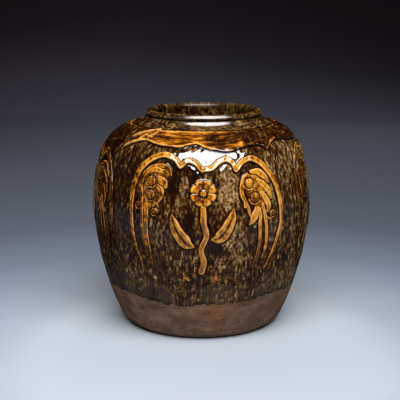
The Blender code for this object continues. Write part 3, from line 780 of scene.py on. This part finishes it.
def band_ring():
    """A strip between a level head and the lobed foot: the pad's section runs down from the
    middle to the foot, underneath, and back over the head, and is carried round the axis."""
    turn = np.linspace(-np.pi, np.pi, BAND_TURNS, endpoint=False)
    foot = foot_of_band(turn)[:, None]
    side = np.concatenate((np.full(len(PAD), 1.0), np.full(len(PAD) - 2, -1.0)))
    share, beyond, rise, off, thin, pool = np.vstack((PAD, PAD[-2:0:-1])).T
    half = (BAND_HEAD - foot) / 2
    middle = (BAND_HEAD + foot) / 2
    inward = (1 - share) * np.minimum(half, BAND_ROUND)
    arc = middle - side * (half - inward + beyond)
    arc[:, share == 0] = middle
    stand = rise * BAND_THICKNESS * (1 + 0.05 * sway(turn, 15, 1.0))[:, None] + off
    turn = np.broadcast_to(turn[:, None], arc.shape)
    broke = np.exp(-(((turn - BROKE_TURN) / BROKE_SPREAD) ** 4)) * (1 - 0.2 * np.sin(3 * turn))
    up = (arc - foot) / (BAND_HEAD - foot)
    patches = patch_sums(np.degrees(turn), up, BAND_PATCHES)[0] * ((up > 0) & (up < 1))
    return {
        "grid": (laid(turn, arc, stand), grid_faces(*arc.shape, wrap_columns=True)),
        "flow": flow_at(turn, arc),
        "thin": thin * (1 - 0.62 * (1 - broke)) + patches,
        "pool": pool * np.ones(arc.shape),
        "gloss": np.full(arc.shape, 0.8),
    }


def worn_share(across, up):
    """How freely the glaze ran off: more on the right of a panel than on its left, and most round
    its top."""
    top = np.clip((up - PANEL_FOOT - 0.84 * PANEL_TALL) / (0.10 * PANEL_TALL), 0, 1)
    return np.clip(0.92 + 0.22 * across, 0.64, 1.14) * (1 - top) + 1.22 * top


def pressed(side, around, up, stand, thin, pool, gloss):
    """A part of the relief: flat places on a panel bent onto the wall, with the glaze fields."""
    turn = around / BELLY_RADIUS + PANELS.index(side) * np.pi / 2
    points = laid(turn, up, np.where(stand > 0, stand * STANDING[side], stand))
    return {
        "grid": (points, grid_faces(*up.shape)),
        "flow": flow_at(turn, up),
        "thin": (thin - (1 - GLAZE_BREAK_AND_SHADE[side]) * 0.5) * worn_share(around / HALF_WIDE[side], up),
        "pool": pool,
        "gloss": np.full(up.shape, gloss * GLOSS[side]),
    }


# A place far to the left, from which every part of a panel lies to the right
FAR_LEFT = (-1.0, 0.2)
# A coil's unevenness as (how much, pitch), of its line and of its width, and the steps of its ends
LINE_RIPPLE = (0.00030, 0.027)
WIDTH_RIPPLE = (0.07, 0.019)
END_STEPS = 15


def coil(
    side, spine, width, rise, seed, section=PAD, step=0.0009, drowned=(0.0, 0.0),
    pale_from=FAR_LEFT, sense=1, gloss=1.0,
):
    """A rolled strip. Its spine is the smooth curve through the places (around, up, share of the
    width). The section's half is carried along one side of the spine, round its end, back along
    the other side and round its start, so both ends are round; a slow ripple moves the spine and
    its width, and the glaze drowns it below the second of two lengths up the wall. The glaze lies
    thinner on the side that faces away from the place pale_from, or towards it for sense -1."""
    spine = np.array(spine) * (1, 1, width / 2)
    length = np.linalg.norm(np.diff(spine[:, :2], axis=0), axis=1).sum()
    count = max(8, int(length / step))
    spine = smooth_path(spine, count)
    ahead = np.gradient(spine[:, :2], axis=0)
    ahead /= np.linalg.norm(ahead, axis=1)[:, None]
    right = np.column_stack((ahead[:, 1], -ahead[:, 0]))
    along = np.linspace(0, length, count)
    centre = spine[:, :2] + right * (LINE_RIPPLE[0] * ripple(along, LINE_RIPPLE[1], seed))[:, None]
    half = spine[:, 2] * (1 + WIDTH_RIPPLE[0] * ripple(along, WIDTH_RIPPLE[1], seed + 3))
    swing = np.radians(np.linspace(0, 180, END_STEPS))[1:-1, None]
    end_round = right[-1] * np.cos(swing) + ahead[-1] * np.sin(swing)
    start_round = -right[0] * np.cos(swing) - ahead[0] * np.sin(swing)
    turned = (len(swing), 1)
    middle = np.vstack((centre, np.tile(centre[-1], turned), centre[::-1], np.tile(centre[0], turned)))
    outward = np.vstack((right, end_round, -right[::-1], start_round))
    half = half[:, None]
    half = np.vstack((half, np.tile(half[-1], turned), half[::-1], np.tile(half[0], turned)))
    share, beyond, rising, off, thin, pool = section.T
    offset = half * share + beyond
    tall = rise * np.clip(half / (width / 2) * 1.25, 0.35, 1.0) ** 0.6
    around = middle[:, :1] + outward[:, :1] * offset
    up = middle[:, 1:] + outward[:, 1:] * offset
    sunk = 1 - np.clip((up - drowned[0]) / max(drowned[1] - drowned[0], 1e-6), 0, 1)
    stand = tall * rising * (1 - 0.75 * sunk) + off
    away = (middle - pale_from) * sense
    facing = (away * outward).sum(axis=1, keepdims=True) / np.linalg.norm(away, axis=1)[:, None]
    thin = thin * (1.14 + 0.20 * share * facing - 0.10 * np.clip((share - 0.5) / 0.3, 0, 1))
    return pressed(side, around, up, stand, thin * (1 - 0.85 * sunk), pool * (1 - 0.6 * sunk), gloss)


def place_on(side, across, up):
    """Distance round the belly from the panel's middle, and length up the wall."""
    return across * HALF_WIDE[side], PANEL_FOOT + up * PANEL_TALL


def strip_places(side, shares):
    """A strip's places from (share across, share up, share of the width)."""
    return [(*place_on(side, across, up), width) for across, up, width in shares]


def applied_clay(name, parts, node, material=amber_material):
    """One relief piece from its closed parts."""
    fields = {field: [part[field] for part in parts] for field in ("flow", "thin", "pool", "gloss")}
    clay_piece(name, [part["grid"] for part in parts], fields, material, "amber_glaze", node)


def band_tails():
    """Four combed strokes beside each cusp, which are coils that taper."""
    tails = []
    for side in PANELS:
        for number, stroke in enumerate(BAND_STROKES):
            spine = [
                (math.radians(angle) * BELLY_RADIUS, arc_at(height), share)
                for (angle, height), share in zip(stroke, (0.6, 1.0, 1.1, 0.9, 0.7))
            ]
            tail = coil(side, spine, STROKE_WIDTH, STROKE_RISE, 7.0 + number)
            tails.append({**tail, "thin": tail["thin"] * 0.8 + STROKE_THIN[side]})
    return tails


applied_clay("lobed_shoulder_band", [band_ring(), *band_tails()], "shoulder_band", band_material)


# Panel frames
# Each panel is ringed by clay coils, rolled out, laid end to end between the cusps and pressed
# flat. They are wide round the top and slim low down, where the glaze nearly drowns them.
FRAME_WIDTH = 0.0066
FRAME_RISE = 0.0026
FRAME_MIDDLE = (0.0, 0.45)
DROWNED = (0.094, 0.162)
BLOT_RISE = 0.0009
# How glossy the frames are beside the rest of a panel's relief
FRAME_GLOSS = dict(zip(PANELS, (2.2, 1.0, 2.2, 1.0)))
# Coils between the cusps: (share of the half panel across, share of its height, share of the width)
FRAME_COILS = (
    ((-0.28, 0.05, 0.5), (-0.56, 0, 0.5), (-0.78, 0.05, 0.5), (-0.91, 0.2, 0.55),
     (-0.975, 0.4, 0.6), (-0.99, 0.6, 0.75), (-0.98, 0.75, 0.9), (-0.9, 0.885, 1),
     (-0.79, 0.955, 1), (-0.66, 0.995, 1), (-0.54, 1, 1), (-0.43, 0.975, 0.9), (-0.345, 0.92, 0.8)),
    ((-0.345, 0.92, 0.8), (-0.26, 0.965, 0.9), (-0.16, 0.95, 0.9), (-0.06, 0.895, 0.85)),
    ((-0.06, 0.895, 0.85), (0.065, 0.91, 0.9), (0.16, 0.955, 1), (0.255, 0.975, 1),
     (0.33, 0.95, 0.9), (0.38, 0.89, 0.8)),
    ((0.38, 0.89, 0.8), (0.5, 0.955, 0.9), (0.61, 0.97, 1), (0.73, 0.935, 1), (0.84, 0.865, 1),
     (0.94, 0.77, 0.95), (1, 0.62, 0.85), (1.015, 0.47, 0.7), (0.95, 0.31, 0.6), (0.86, 0.16, 0.55),
     (0.72, 0.03, 0.5), (0.43, -0.01, 0.5), (0.11, 0.045, 0.5)),
    ((0.11, 0.045, 0.5), (-0.085, 0, 0.5), (-0.28, 0.05, 0.5)),
)
COIL_RISES = (1.0, 0.93, 0.98, 0.95, 0.90)
# The pressed ends at the two lower cusps, where the glaze broke reddish, and their section, which
# is a low lump with a blot of thin glaze
CUSP_ENDS = (
    ((-0.32, 0.025, 0.55), (-0.28, 0.055, 0.95), (-0.245, 0.03, 0.6)),
    ((0.07, 0.02, 0.55), (0.11, 0.05, 0.95), (0.15, 0.025, 0.6)),
)
BLOT = clay_section(
    *((share, 1 - 0.4 * share**2, 0.5 - 0.3 * share, 0) for share in np.linspace(0, 0.93, 8)),
    (*PAD_EDGE[:3], 0), pools_and_shade=(0, 0, 0, 0, 0),
)

for side in PANELS:
    middle = place_on(side, *FRAME_MIDDLE)
    coils = [
        coil(
            side, strip_places(side, shares), FRAME_WIDTH, FRAME_RISE * rise, number + len(side),
            drowned=DROWNED, pale_from=middle, sense=-1, gloss=FRAME_GLOSS[side],
        )
        for number, (shares, rise) in enumerate(zip(FRAME_COILS, COIL_RISES))
    ]
    for shares in CUSP_ENDS:
        coils.append(coil(side, strip_places(side, shares), FRAME_WIDTH, BLOT_RISE, 9.0, section=BLOT))
    applied_clay(f"{side}_frame_coils", coils, f"{side}_frame")


# Blossom
# The middle of a panel holds an open flower, pressed from a turned pad: eight petals with a
# raised rim round a beaded eye.
BLOSSOM_RADIUS = 0.0155
BLOSSOM_RISE = 0.0030
BLOSSOM_PLACE = (-0.05, 0.72)
FLOWER_TURNS = 96
BLOSSOM_SECTION = clay_section(
    (0, 0.94, 0.8, 0), (0.1, 0.93, 0.75, 0), (0.18, 0.86, 0.95, 0), (0.23, 0.7, 0.5, 0.3),
    (0.27, 0.52, 0.1, 1), (0.32, 0.54, 0.2, 0.8), (0.4, 0.66, 0.42, 0.1), (0.55, 0.76, 0.5, 0),
    (0.68, 0.84, 0.58, 0), (0.8, 0.96, 0.85, 0), (0.87, 1, 1, 0), (0.93, 0.9, 0.95, 0),
    (0.97, 0.66, 0.6, 0.1), thin=0.3, pools_and_shade=(0.5, 0.9, 1, 0.75, 0.35),
)


def flower(side, centre, radius, rise, section, petals, depth, seed, squash=1.0, upper_rim=1.0, gloss=0.7):
    """A pressed flower: the section carried round its centre. Between the petals valley is
    (1 - |sin|)^3: the rim is drawn in there by depth * valley, and the pad is lower and darker, with
    pooled glaze and painted shade. The darkness is heavier on the flower's lower side, as a painted shadow."""
    swing = np.linspace(0, 2 * np.pi, FLOWER_TURNS, endpoint=False)[:, None]
    share, beyond, rising, off, thin, pool = section.T
    valley = (1 - np.abs(np.sin(petals * swing / 2 + seed))) ** 3
    reach = np.clip((share - 0.25) / 0.5, 0, 1)
    on_top = rising > 0.3
    rim = radius * share * (1 - depth * valley * reach) + beyond
    around = centre[0] + rim * np.cos(swing) * squash
    up = centre[1] + rim * np.sin(swing)
    stand = rise * rising * (1 - 0.35 * valley * reach * on_top) * (1 + 0.06 * np.sin(swing + seed)) + off
    # Heavier on the flower's lower side: a painted shadow below it
    fall = np.clip(0.55 - 0.6 * np.sin(swing), 0.12, 1)
    thin = thin * (1 - (1 - upper_rim) * (0.5 + 0.5 * np.sin(swing)) * np.clip((share - 0.65) / 0.1, 0, 1))
    thin = thin * (1 - 0.55 * valley * reach)
    pool = np.clip(pool * fall + 0.55 * valley * reach * on_top, 0, 1)
    return pressed(side, around, up, stand, thin, pool, gloss)


for side in PANELS:
    centre = place_on(side, *BLOSSOM_PLACE)
    blossom = flower(side, centre, BLOSSOM_RADIUS, BLOSSOM_RISE, BLOSSOM_SECTION, 8, 0.17, 0.0)
    applied_clay(f"{side}_blossom_pressed", [blossom], f"{side}_blossom")


# Stem and leaves
# Under the blossom a bent coil makes the stem, and two leaves are cut from a slab, pressed on and
# veined with a tool.
STEM_WIDTH = 0.0066
LEAF_WIDTH = 0.0145
STEM_RISE = LEAF_RISE = 0.0024
STEM = (
    (-0.05, 0.607, 1), (-0.045, 0.5, 1.05), (-0.01, 0.4, 0.95), (-0.075, 0.29, 0.95),
    (-0.045, 0.18, 1.1), (-0.07, 0.11, 1.25),
)
LEFT_LEAF = (
    (-0.165, 0.31, 0.12), (-0.24, 0.33, 0.85), (-0.34, 0.4, 1), (-0.41, 0.49, 0.7),
    (-0.44, 0.56, 0.1),
)
RIGHT_LEAF = (
    (0.055, 0.365, 0.12), (0.13, 0.375, 0.85), (0.23, 0.44, 1), (0.3, 0.53, 0.7), (0.33, 0.6, 0.1),
)
VEINED = PAD.copy()
VEINED[:3, 2] = (0.72, 0.90, 0.93)
VEINED[:3, 4] = (0.10, 0.50, 0.56)
VEINED[0, 5] = 0.6

for side in PANELS:
    stem = coil(side, strip_places(side, STEM), STEM_WIDTH, STEM_RISE, 2.0)
    applied_clay(f"{side}_stem_coil", [stem], f"{side}_stem")
    for which, shares in (("left", LEFT_LEAF), ("right", RIGHT_LEAF)):
        leaf = coil(side, strip_places(side, shares), LEAF_WIDTH, LEAF_RISE, 5.0, section=VEINED)
        applied_clay(f"{side}_{which}_leaf_cut", [leaf], f"{side}_leaf_{which}")


# Flower sprays
# On each side of a panel two ringed flower heads sit one above the other among petals and leaves,
# over long flat stalks with round buds. All are pressed pads and coils, laid over each other.
HEAD_RADIUS = 0.0088
HEAD_RISE = 0.0033
HEAD_RIM = ((0.78, 0.58, 0.4, 0.4), (0.86, 0.8, 0.95, 0), (0.92, 0.76, 0.95, 0), (0.97, 0.54, 0.6, 0.1))
HEAD_FOOT = {"thin": 0.3, "pools_and_shade": (0.4, 0.6, 0.6, 0.4, 0.2)}
HEAD_SECTION = clay_section(
    (0, 0.95, 0.85, 0), (0.12, 0.92, 0.6, 0), (0.19, 0.82, 0.3, 0.3), (0.27, 0.9, 0.9, 0),
    (0.35, 0.82, 0.45, 0.2), (0.42, 0.76, 0.3, 0.4), (0.5, 0.84, 0.85, 0), (0.58, 0.72, 0.6, 0.2),
    (0.64, 0.46, 0.05, 1), (0.72, 0.4, 0.05, 1), *HEAD_RIM, **HEAD_FOOT,
)
BUD_RADIUS = 0.0046
BUD_RISE = 0.0025
BUD_SECTION = clay_section(
    (0, 0.78, 0.42, 0), (0.25, 0.76, 0.38, 0), (0.45, 0.62, 0.2, 0.5), (0.6, 0.5, 0.1, 0.9),
    *HEAD_RIM, **HEAD_FOOT,
)
# The low pad of clay under the heads and petals: across in even shares, then down to the wall
BED_WIDTH = 0.0200
BED_RISE = 0.0012
BED = clay_section(
    *((share, 1 - 0.25 * share**4, 0.36 + 0.30 * share**8, 0) for share in np.linspace(0, 0.93, 19)),
    PAD_EDGE,
)
PETAL_WIDTH = 0.0080
# The first petal's rise, and how much lower each one after it lies
PETAL_RISE, PETAL_DROP = 0.0027, 0.0001
POOL_REACH = 0.0009
STALK_WIDTH = 0.0046
STALK_RISE = 0.0022
# Petals and stalks as coils: (across, up, width share); heads and buds as (across, up) places. The
# petals are palest away from the middle, and worn is how freely petals and stalks broke pale.
SPRAYS = {
    "left": {
        "heads": (("upper", (-0.721, 0.802)), ("lower", (-0.723, 0.697))),
        "middle": (-1.1, 0.8),
        "worn": (0.93, 0.85),
        "bed": (
            (-0.775, 0.61, 0.55), (-0.745, 0.7, 1), (-0.715, 0.79, 1.15), (-0.655, 0.845, 1),
            (-0.57, 0.85, 0.6),
        ),
        "petals": (
            ((-0.835, 0.63, 0.35), (-0.853, 0.7, 0.5), (-0.868, 0.765, 0.55), (-0.85, 0.825, 0.55),
             (-0.775, 0.886, 0.6), (-0.664, 0.915, 0.6), (-0.562, 0.914, 0.6), (-0.495, 0.893, 0.5),
             (-0.462, 0.852, 0.25)),
            ((-0.79, 0.862, 0.4), (-0.7, 0.885, 0.75), (-0.61, 0.88, 0.7), (-0.53, 0.868, 0.6),
             (-0.49, 0.842, 0.25)),
            ((-0.64, 0.83, 0.5), (-0.59, 0.81, 1.05), (-0.545, 0.79, 1.1), (-0.53, 0.762, 0.55)),
            ((-0.64, 0.765, 0.5), (-0.59, 0.735, 0.95), (-0.59, 0.69, 0.95), (-0.615, 0.648, 0.35)),
            ((-0.702, 0.65, 0.3), (-0.667, 0.632, 0.4), (-0.69, 0.608, 0.25)),
            ((-0.641, 0.64, 0.2), (-0.607, 0.607, 0.22)),
        ),
        "stalks": (
            ((-0.8, 0.665, 1), (-0.775, 0.6, 1.15), (-0.776, 0.52, 1.15), (-0.778, 0.45, 1.1),
             (-0.765, 0.33, 1), (-0.745, 0.24, 0.9), (-0.728, 0.155, 0.7)),
            ((-0.845, 0.655, 0.6), (-0.838, 0.6, 0.9), (-0.836, 0.52, 0.9), (-0.832, 0.43, 0.9),
             (-0.812, 0.32, 0.8), (-0.785, 0.22, 0.6)),
        ),
        "buds": ((-0.893, 0.606), (-0.668, 0.565)),
    },
    "right": {
        "heads": (("upper", (0.544, 0.783)), ("lower", (0.608, 0.672))),
        "middle": (0.56, 0.76),
        "worn": (1.07, 1.08),
        "bed": ((0.52, 0.81, 0.75), (0.59, 0.775, 1.2), (0.64, 0.7, 1.25), (0.68, 0.63, 0.8)),
        "petals": (
            ((0.53, 0.855, 0.25), (0.47, 0.815, 0.5), (0.435, 0.755, 0.6), (0.44, 0.7, 0.6),
             (0.475, 0.655, 0.5), (0.51, 0.62, 0.3)),
            ((0.59, 0.868, 0.55), (0.68, 0.862, 0.95), (0.765, 0.828, 0.95), (0.835, 0.778, 0.4)),
            ((0.67, 0.8, 0.6), (0.745, 0.765, 0.95), (0.815, 0.715, 0.9), (0.85, 0.655, 0.4)),
            ((0.715, 0.7, 0.6), (0.77, 0.65, 0.95), (0.805, 0.605, 0.85), (0.79, 0.56, 0.4)),
            ((0.478, 0.64, 0.45), (0.478, 0.61, 0.5)),
            ((0.52, 0.61, 0.3), (0.53, 0.575, 0.45), (0.548, 0.53, 0.25)),
            ((0.63, 0.6, 0.4), (0.618, 0.56, 1), (0.585, 0.51, 1.05), (0.538, 0.472, 0.3)),
            ((0.76, 0.53, 0.22), (0.8, 0.505, 0.3), (0.845, 0.492, 0.22)),
        ),
        "stalks": (
            ((0.655, 0.59, 0.7), (0.682, 0.54, 0.85), (0.676, 0.47, 0.9), (0.686, 0.36, 0.9),
             (0.672, 0.26, 0.85), (0.635, 0.16, 0.75), (0.6, 0.085, 0.5)),
            ((0.715, 0.61, 0.7), (0.75, 0.53, 0.85), (0.775, 0.43, 0.9), (0.786, 0.34, 0.85),
             (0.77, 0.24, 0.7), (0.745, 0.18, 0.5)),
        ),
        "buds": ((0.874, 0.53),),
    },
}


def spray_bed(side, plan):
    """The bed, with dark glaze pooled on it beside the heads and petals: exp(-(distance from the
    edge / POOL_REACH)^2), heavier on the lower side of a head, where it is a painted shadow."""
    bed = coil(side, strip_places(side, plan["bed"]), BED_WIDTH, BED_RISE, 1.0, section=BED, step=0.0006)
    x, y, up = np.moveaxis(bed["flow"], -1, 0)
    around = np.arctan2(x, -y) - PANELS.index(side) * np.pi / 2
    around = (np.mod(around + np.pi, 2 * np.pi) - np.pi) * BELLY_RADIUS
    dark = bed["pool"]
    for shares in plan["petals"]:
        spine = smooth_path(np.array(strip_places(side, shares)) * (1, 1, PETAL_WIDTH / 2), 40)
        gap = np.hypot(around[..., None] - spine[:, 0], up[..., None] - spine[:, 1]) - spine[:, 2]
        dark = np.maximum(dark, 0.85 * np.exp(-((gap.min(axis=-1) / POOL_REACH) ** 2)))
    for _, place in plan["heads"]:
        centre = place_on(side, *place)
        gap = np.hypot(around - centre[0], up - centre[1]) - HEAD_RADIUS
        # Darker on a head's lower side: a painted shadow
        under = np.clip((centre[1] - up) / HEAD_RADIUS, 0, 1)
        dark = np.maximum(dark, (0.35 + 0.6 * under) * np.exp(-((gap / POOL_REACH) ** 2)))
    return {**bed, "pool": dark}


def worn(parts, share):
    """The parts with that share of their thin glaze."""
    return [{**part, "thin": part["thin"] * share} for part in parts]


for side in PANELS:
    for spray, plan in SPRAYS.items():
        for number, (level, place) in enumerate(plan["heads"]):
            head = flower(
                side, place_on(side, *place), HEAD_RADIUS, HEAD_RISE, HEAD_SECTION, 9, 0.06, 0.7 + number,
                upper_rim=0.35, gloss=0.12,
            )
            applied_clay(f"{side}_{spray}_head_{level}", [head], f"{side}_{spray}_bloom_{level}")
        middle = place_on(side, *plan["middle"])
        petals = [
            coil(
                side, strip_places(side, shares), PETAL_WIDTH, PETAL_RISE - PETAL_DROP * number,
                1.0 + number, pale_from=middle,
            )
            for number, shares in enumerate(plan["petals"])
        ]
        petals = worn([spray_bed(side, plan), *petals], plan["worn"][0])
        applied_clay(f"{side}_{spray}_petals", petals, f"{side}_{spray}_crest")
        stalks = [
            coil(side, strip_places(side, shares), STALK_WIDTH, STALK_RISE, 4.0 + number, drowned=DROWNED)
            for number, shares in enumerate(plan["stalks"])
        ]
        buds = [
            flower(
                side, place_on(side, *place), BUD_RADIUS, BUD_RISE, BUD_SECTION, 1, 0.0, 0.3,
                squash=0.85, upper_rim=0.7, gloss=0.12,
            )
            for place in plan["buds"]
        ]
        stalks = worn(stalks, plan["worn"][1]) + buds
        applied_clay(f"{side}_{spray}_stalks_and_buds", stalks, f"{side}_{spray}_stalks")


# Studio
# The jar stands on pale paper that curves up behind it, under one large softbox above and in front.
# A weak lamp behind it only fills, and the glaze doesn't mirror it.
SWEEP_BEND = 0.9
SWEEP_FRONT, SWEEP_BACK = -2.5, 1.9
# The distance at which the paper's painted shade is darkest
SWEEP_REACH = 4.6


def studio_sweep():
    """A floor that runs back and curves up into the backdrop: a profile carried sideways. The paper
    is painted darker with its distance from the jar, to the right and towards the camera, as painted
    shade for the light falling off."""
    bend = np.radians(np.linspace(0, 88, 24))
    level = np.linspace(SWEEP_FRONT, SWEEP_BACK, 12)
    back = np.concatenate((level, SWEEP_BACK + SWEEP_BEND * np.sin(bend), [2.85]))
    rise = np.concatenate((np.zeros(12), SWEEP_BEND - SWEEP_BEND * np.cos(bend), [3.2]))
    x, y = np.meshgrid(np.linspace(-3.5, 3.5, 9), back, indexing="ij")
    points = np.stack((x, y, np.broadcast_to(rise, x.shape)), axis=-1).reshape(-1, 3)
    mesh = bpy.data.meshes.new("studio_sweep")
    mesh.from_pydata(points.tolist(), [], grid_faces(*x.shape, wrap_rows=False).tolist())
    mesh.shade_smooth()
    sweep = placed("studio_sweep", mesh)
    shade = Shade("studio_paper", coat=0.0, specular=0.1)
    place = shade.node("ShaderNodeTexCoord", output="Object")
    depth = place.axis("Y")
    away = place.vector("MULTIPLY", (1.2, 1, 1), "Vector").vector("LENGTH")
    away = away + depth.sum("MAXIMUM", depth + 0.25, 0.0) * 0.55
    colour = (away / SWEEP_REACH).ramp(
        (0.072, (186, 194, 205)), (0.085, (169, 178, 191)), (0.10, (158, 168, 182)),
        (0.1435, (128, 137, 153)), (0.209, (101, 108, 121)), (0.315, (97, 102, 115)),
        (0.478, (88, 92, 103)), (0.739, (87, 87, 99)), (0.826, (79, 76, 86)),
        (0.913, (53, 44, 51)), (1.0, (31, 29, 33)),
    )
    colour = colour.blend((20, 20, 24), place.axis("X").step(-0.45, 0.45) * 0.19)
    colour = colour.blend((36, 32, 36), (0.0 - depth).step(0.30, 0.62) * 0.94)
    mesh.materials.append(shade.finish(base_color=colour, roughness=0.9))


def softbox(name, place, aim, size, power):
    """A soft round area lamp at a place, turned to face its aim."""
    lamp = bpy.data.lights.new(name, "AREA")
    lamp.shape = "ELLIPSE"
    lamp.size, lamp.size_y = size
    lamp.energy = power
    box = placed(name, lamp)
    box.location = place
    direction = np.array(aim) - np.array(place)
    flat = math.hypot(direction[0], direction[1])
    box.rotation_euler = (math.atan2(flat, -direction[2]), 0.0, math.atan2(-direction[0], direction[1]))
    return box


studio_sweep()
softbox("high_softbox", (0.07, -0.92, 1.34), aim=(-0.07, -0.19, 0.10), size=(1.80, 1.36), power=46)
back_softbox = softbox("back_softbox", (0.45, 1.75, 1.15), aim=(0.0, 0.1, 0.10), size=(1.20, 0.90), power=10)
back_softbox.visible_glossy = False

# A little even light from all round keeps the undersides from going black
world = bpy.data.worlds.new("studio_air")
bpy.context.scene.world = world
world.use_nodes = True
world.node_tree.nodes["Background"].inputs["Color"].default_value = (0.72, 0.70, 0.68, 1)
world.node_tree.nodes["Background"].inputs["Strength"].default_value = 0.03

CAMERA_DISTANCE = 1.1958
CAMERA_HEIGHT = 0.4115
AZIMUTH, PITCH = math.radians(-2.85), math.radians(12.23)
camera_data = bpy.data.cameras.new("camera")
camera_data.lens = 86.0
camera_data.sensor_width = 36.0
camera_data.shift_x = -0.0035
camera = placed("camera", camera_data)
camera.location = (CAMERA_DISTANCE * math.sin(AZIMUTH), -CAMERA_DISTANCE * math.cos(AZIMUTH), CAMERA_HEIGHT)
camera.rotation_euler = (math.pi / 2 - PITCH, 0.0, AZIMUTH)
bpy.context.scene.camera = camera
bpy.context.scene.view_settings.view_transform = "Standard"
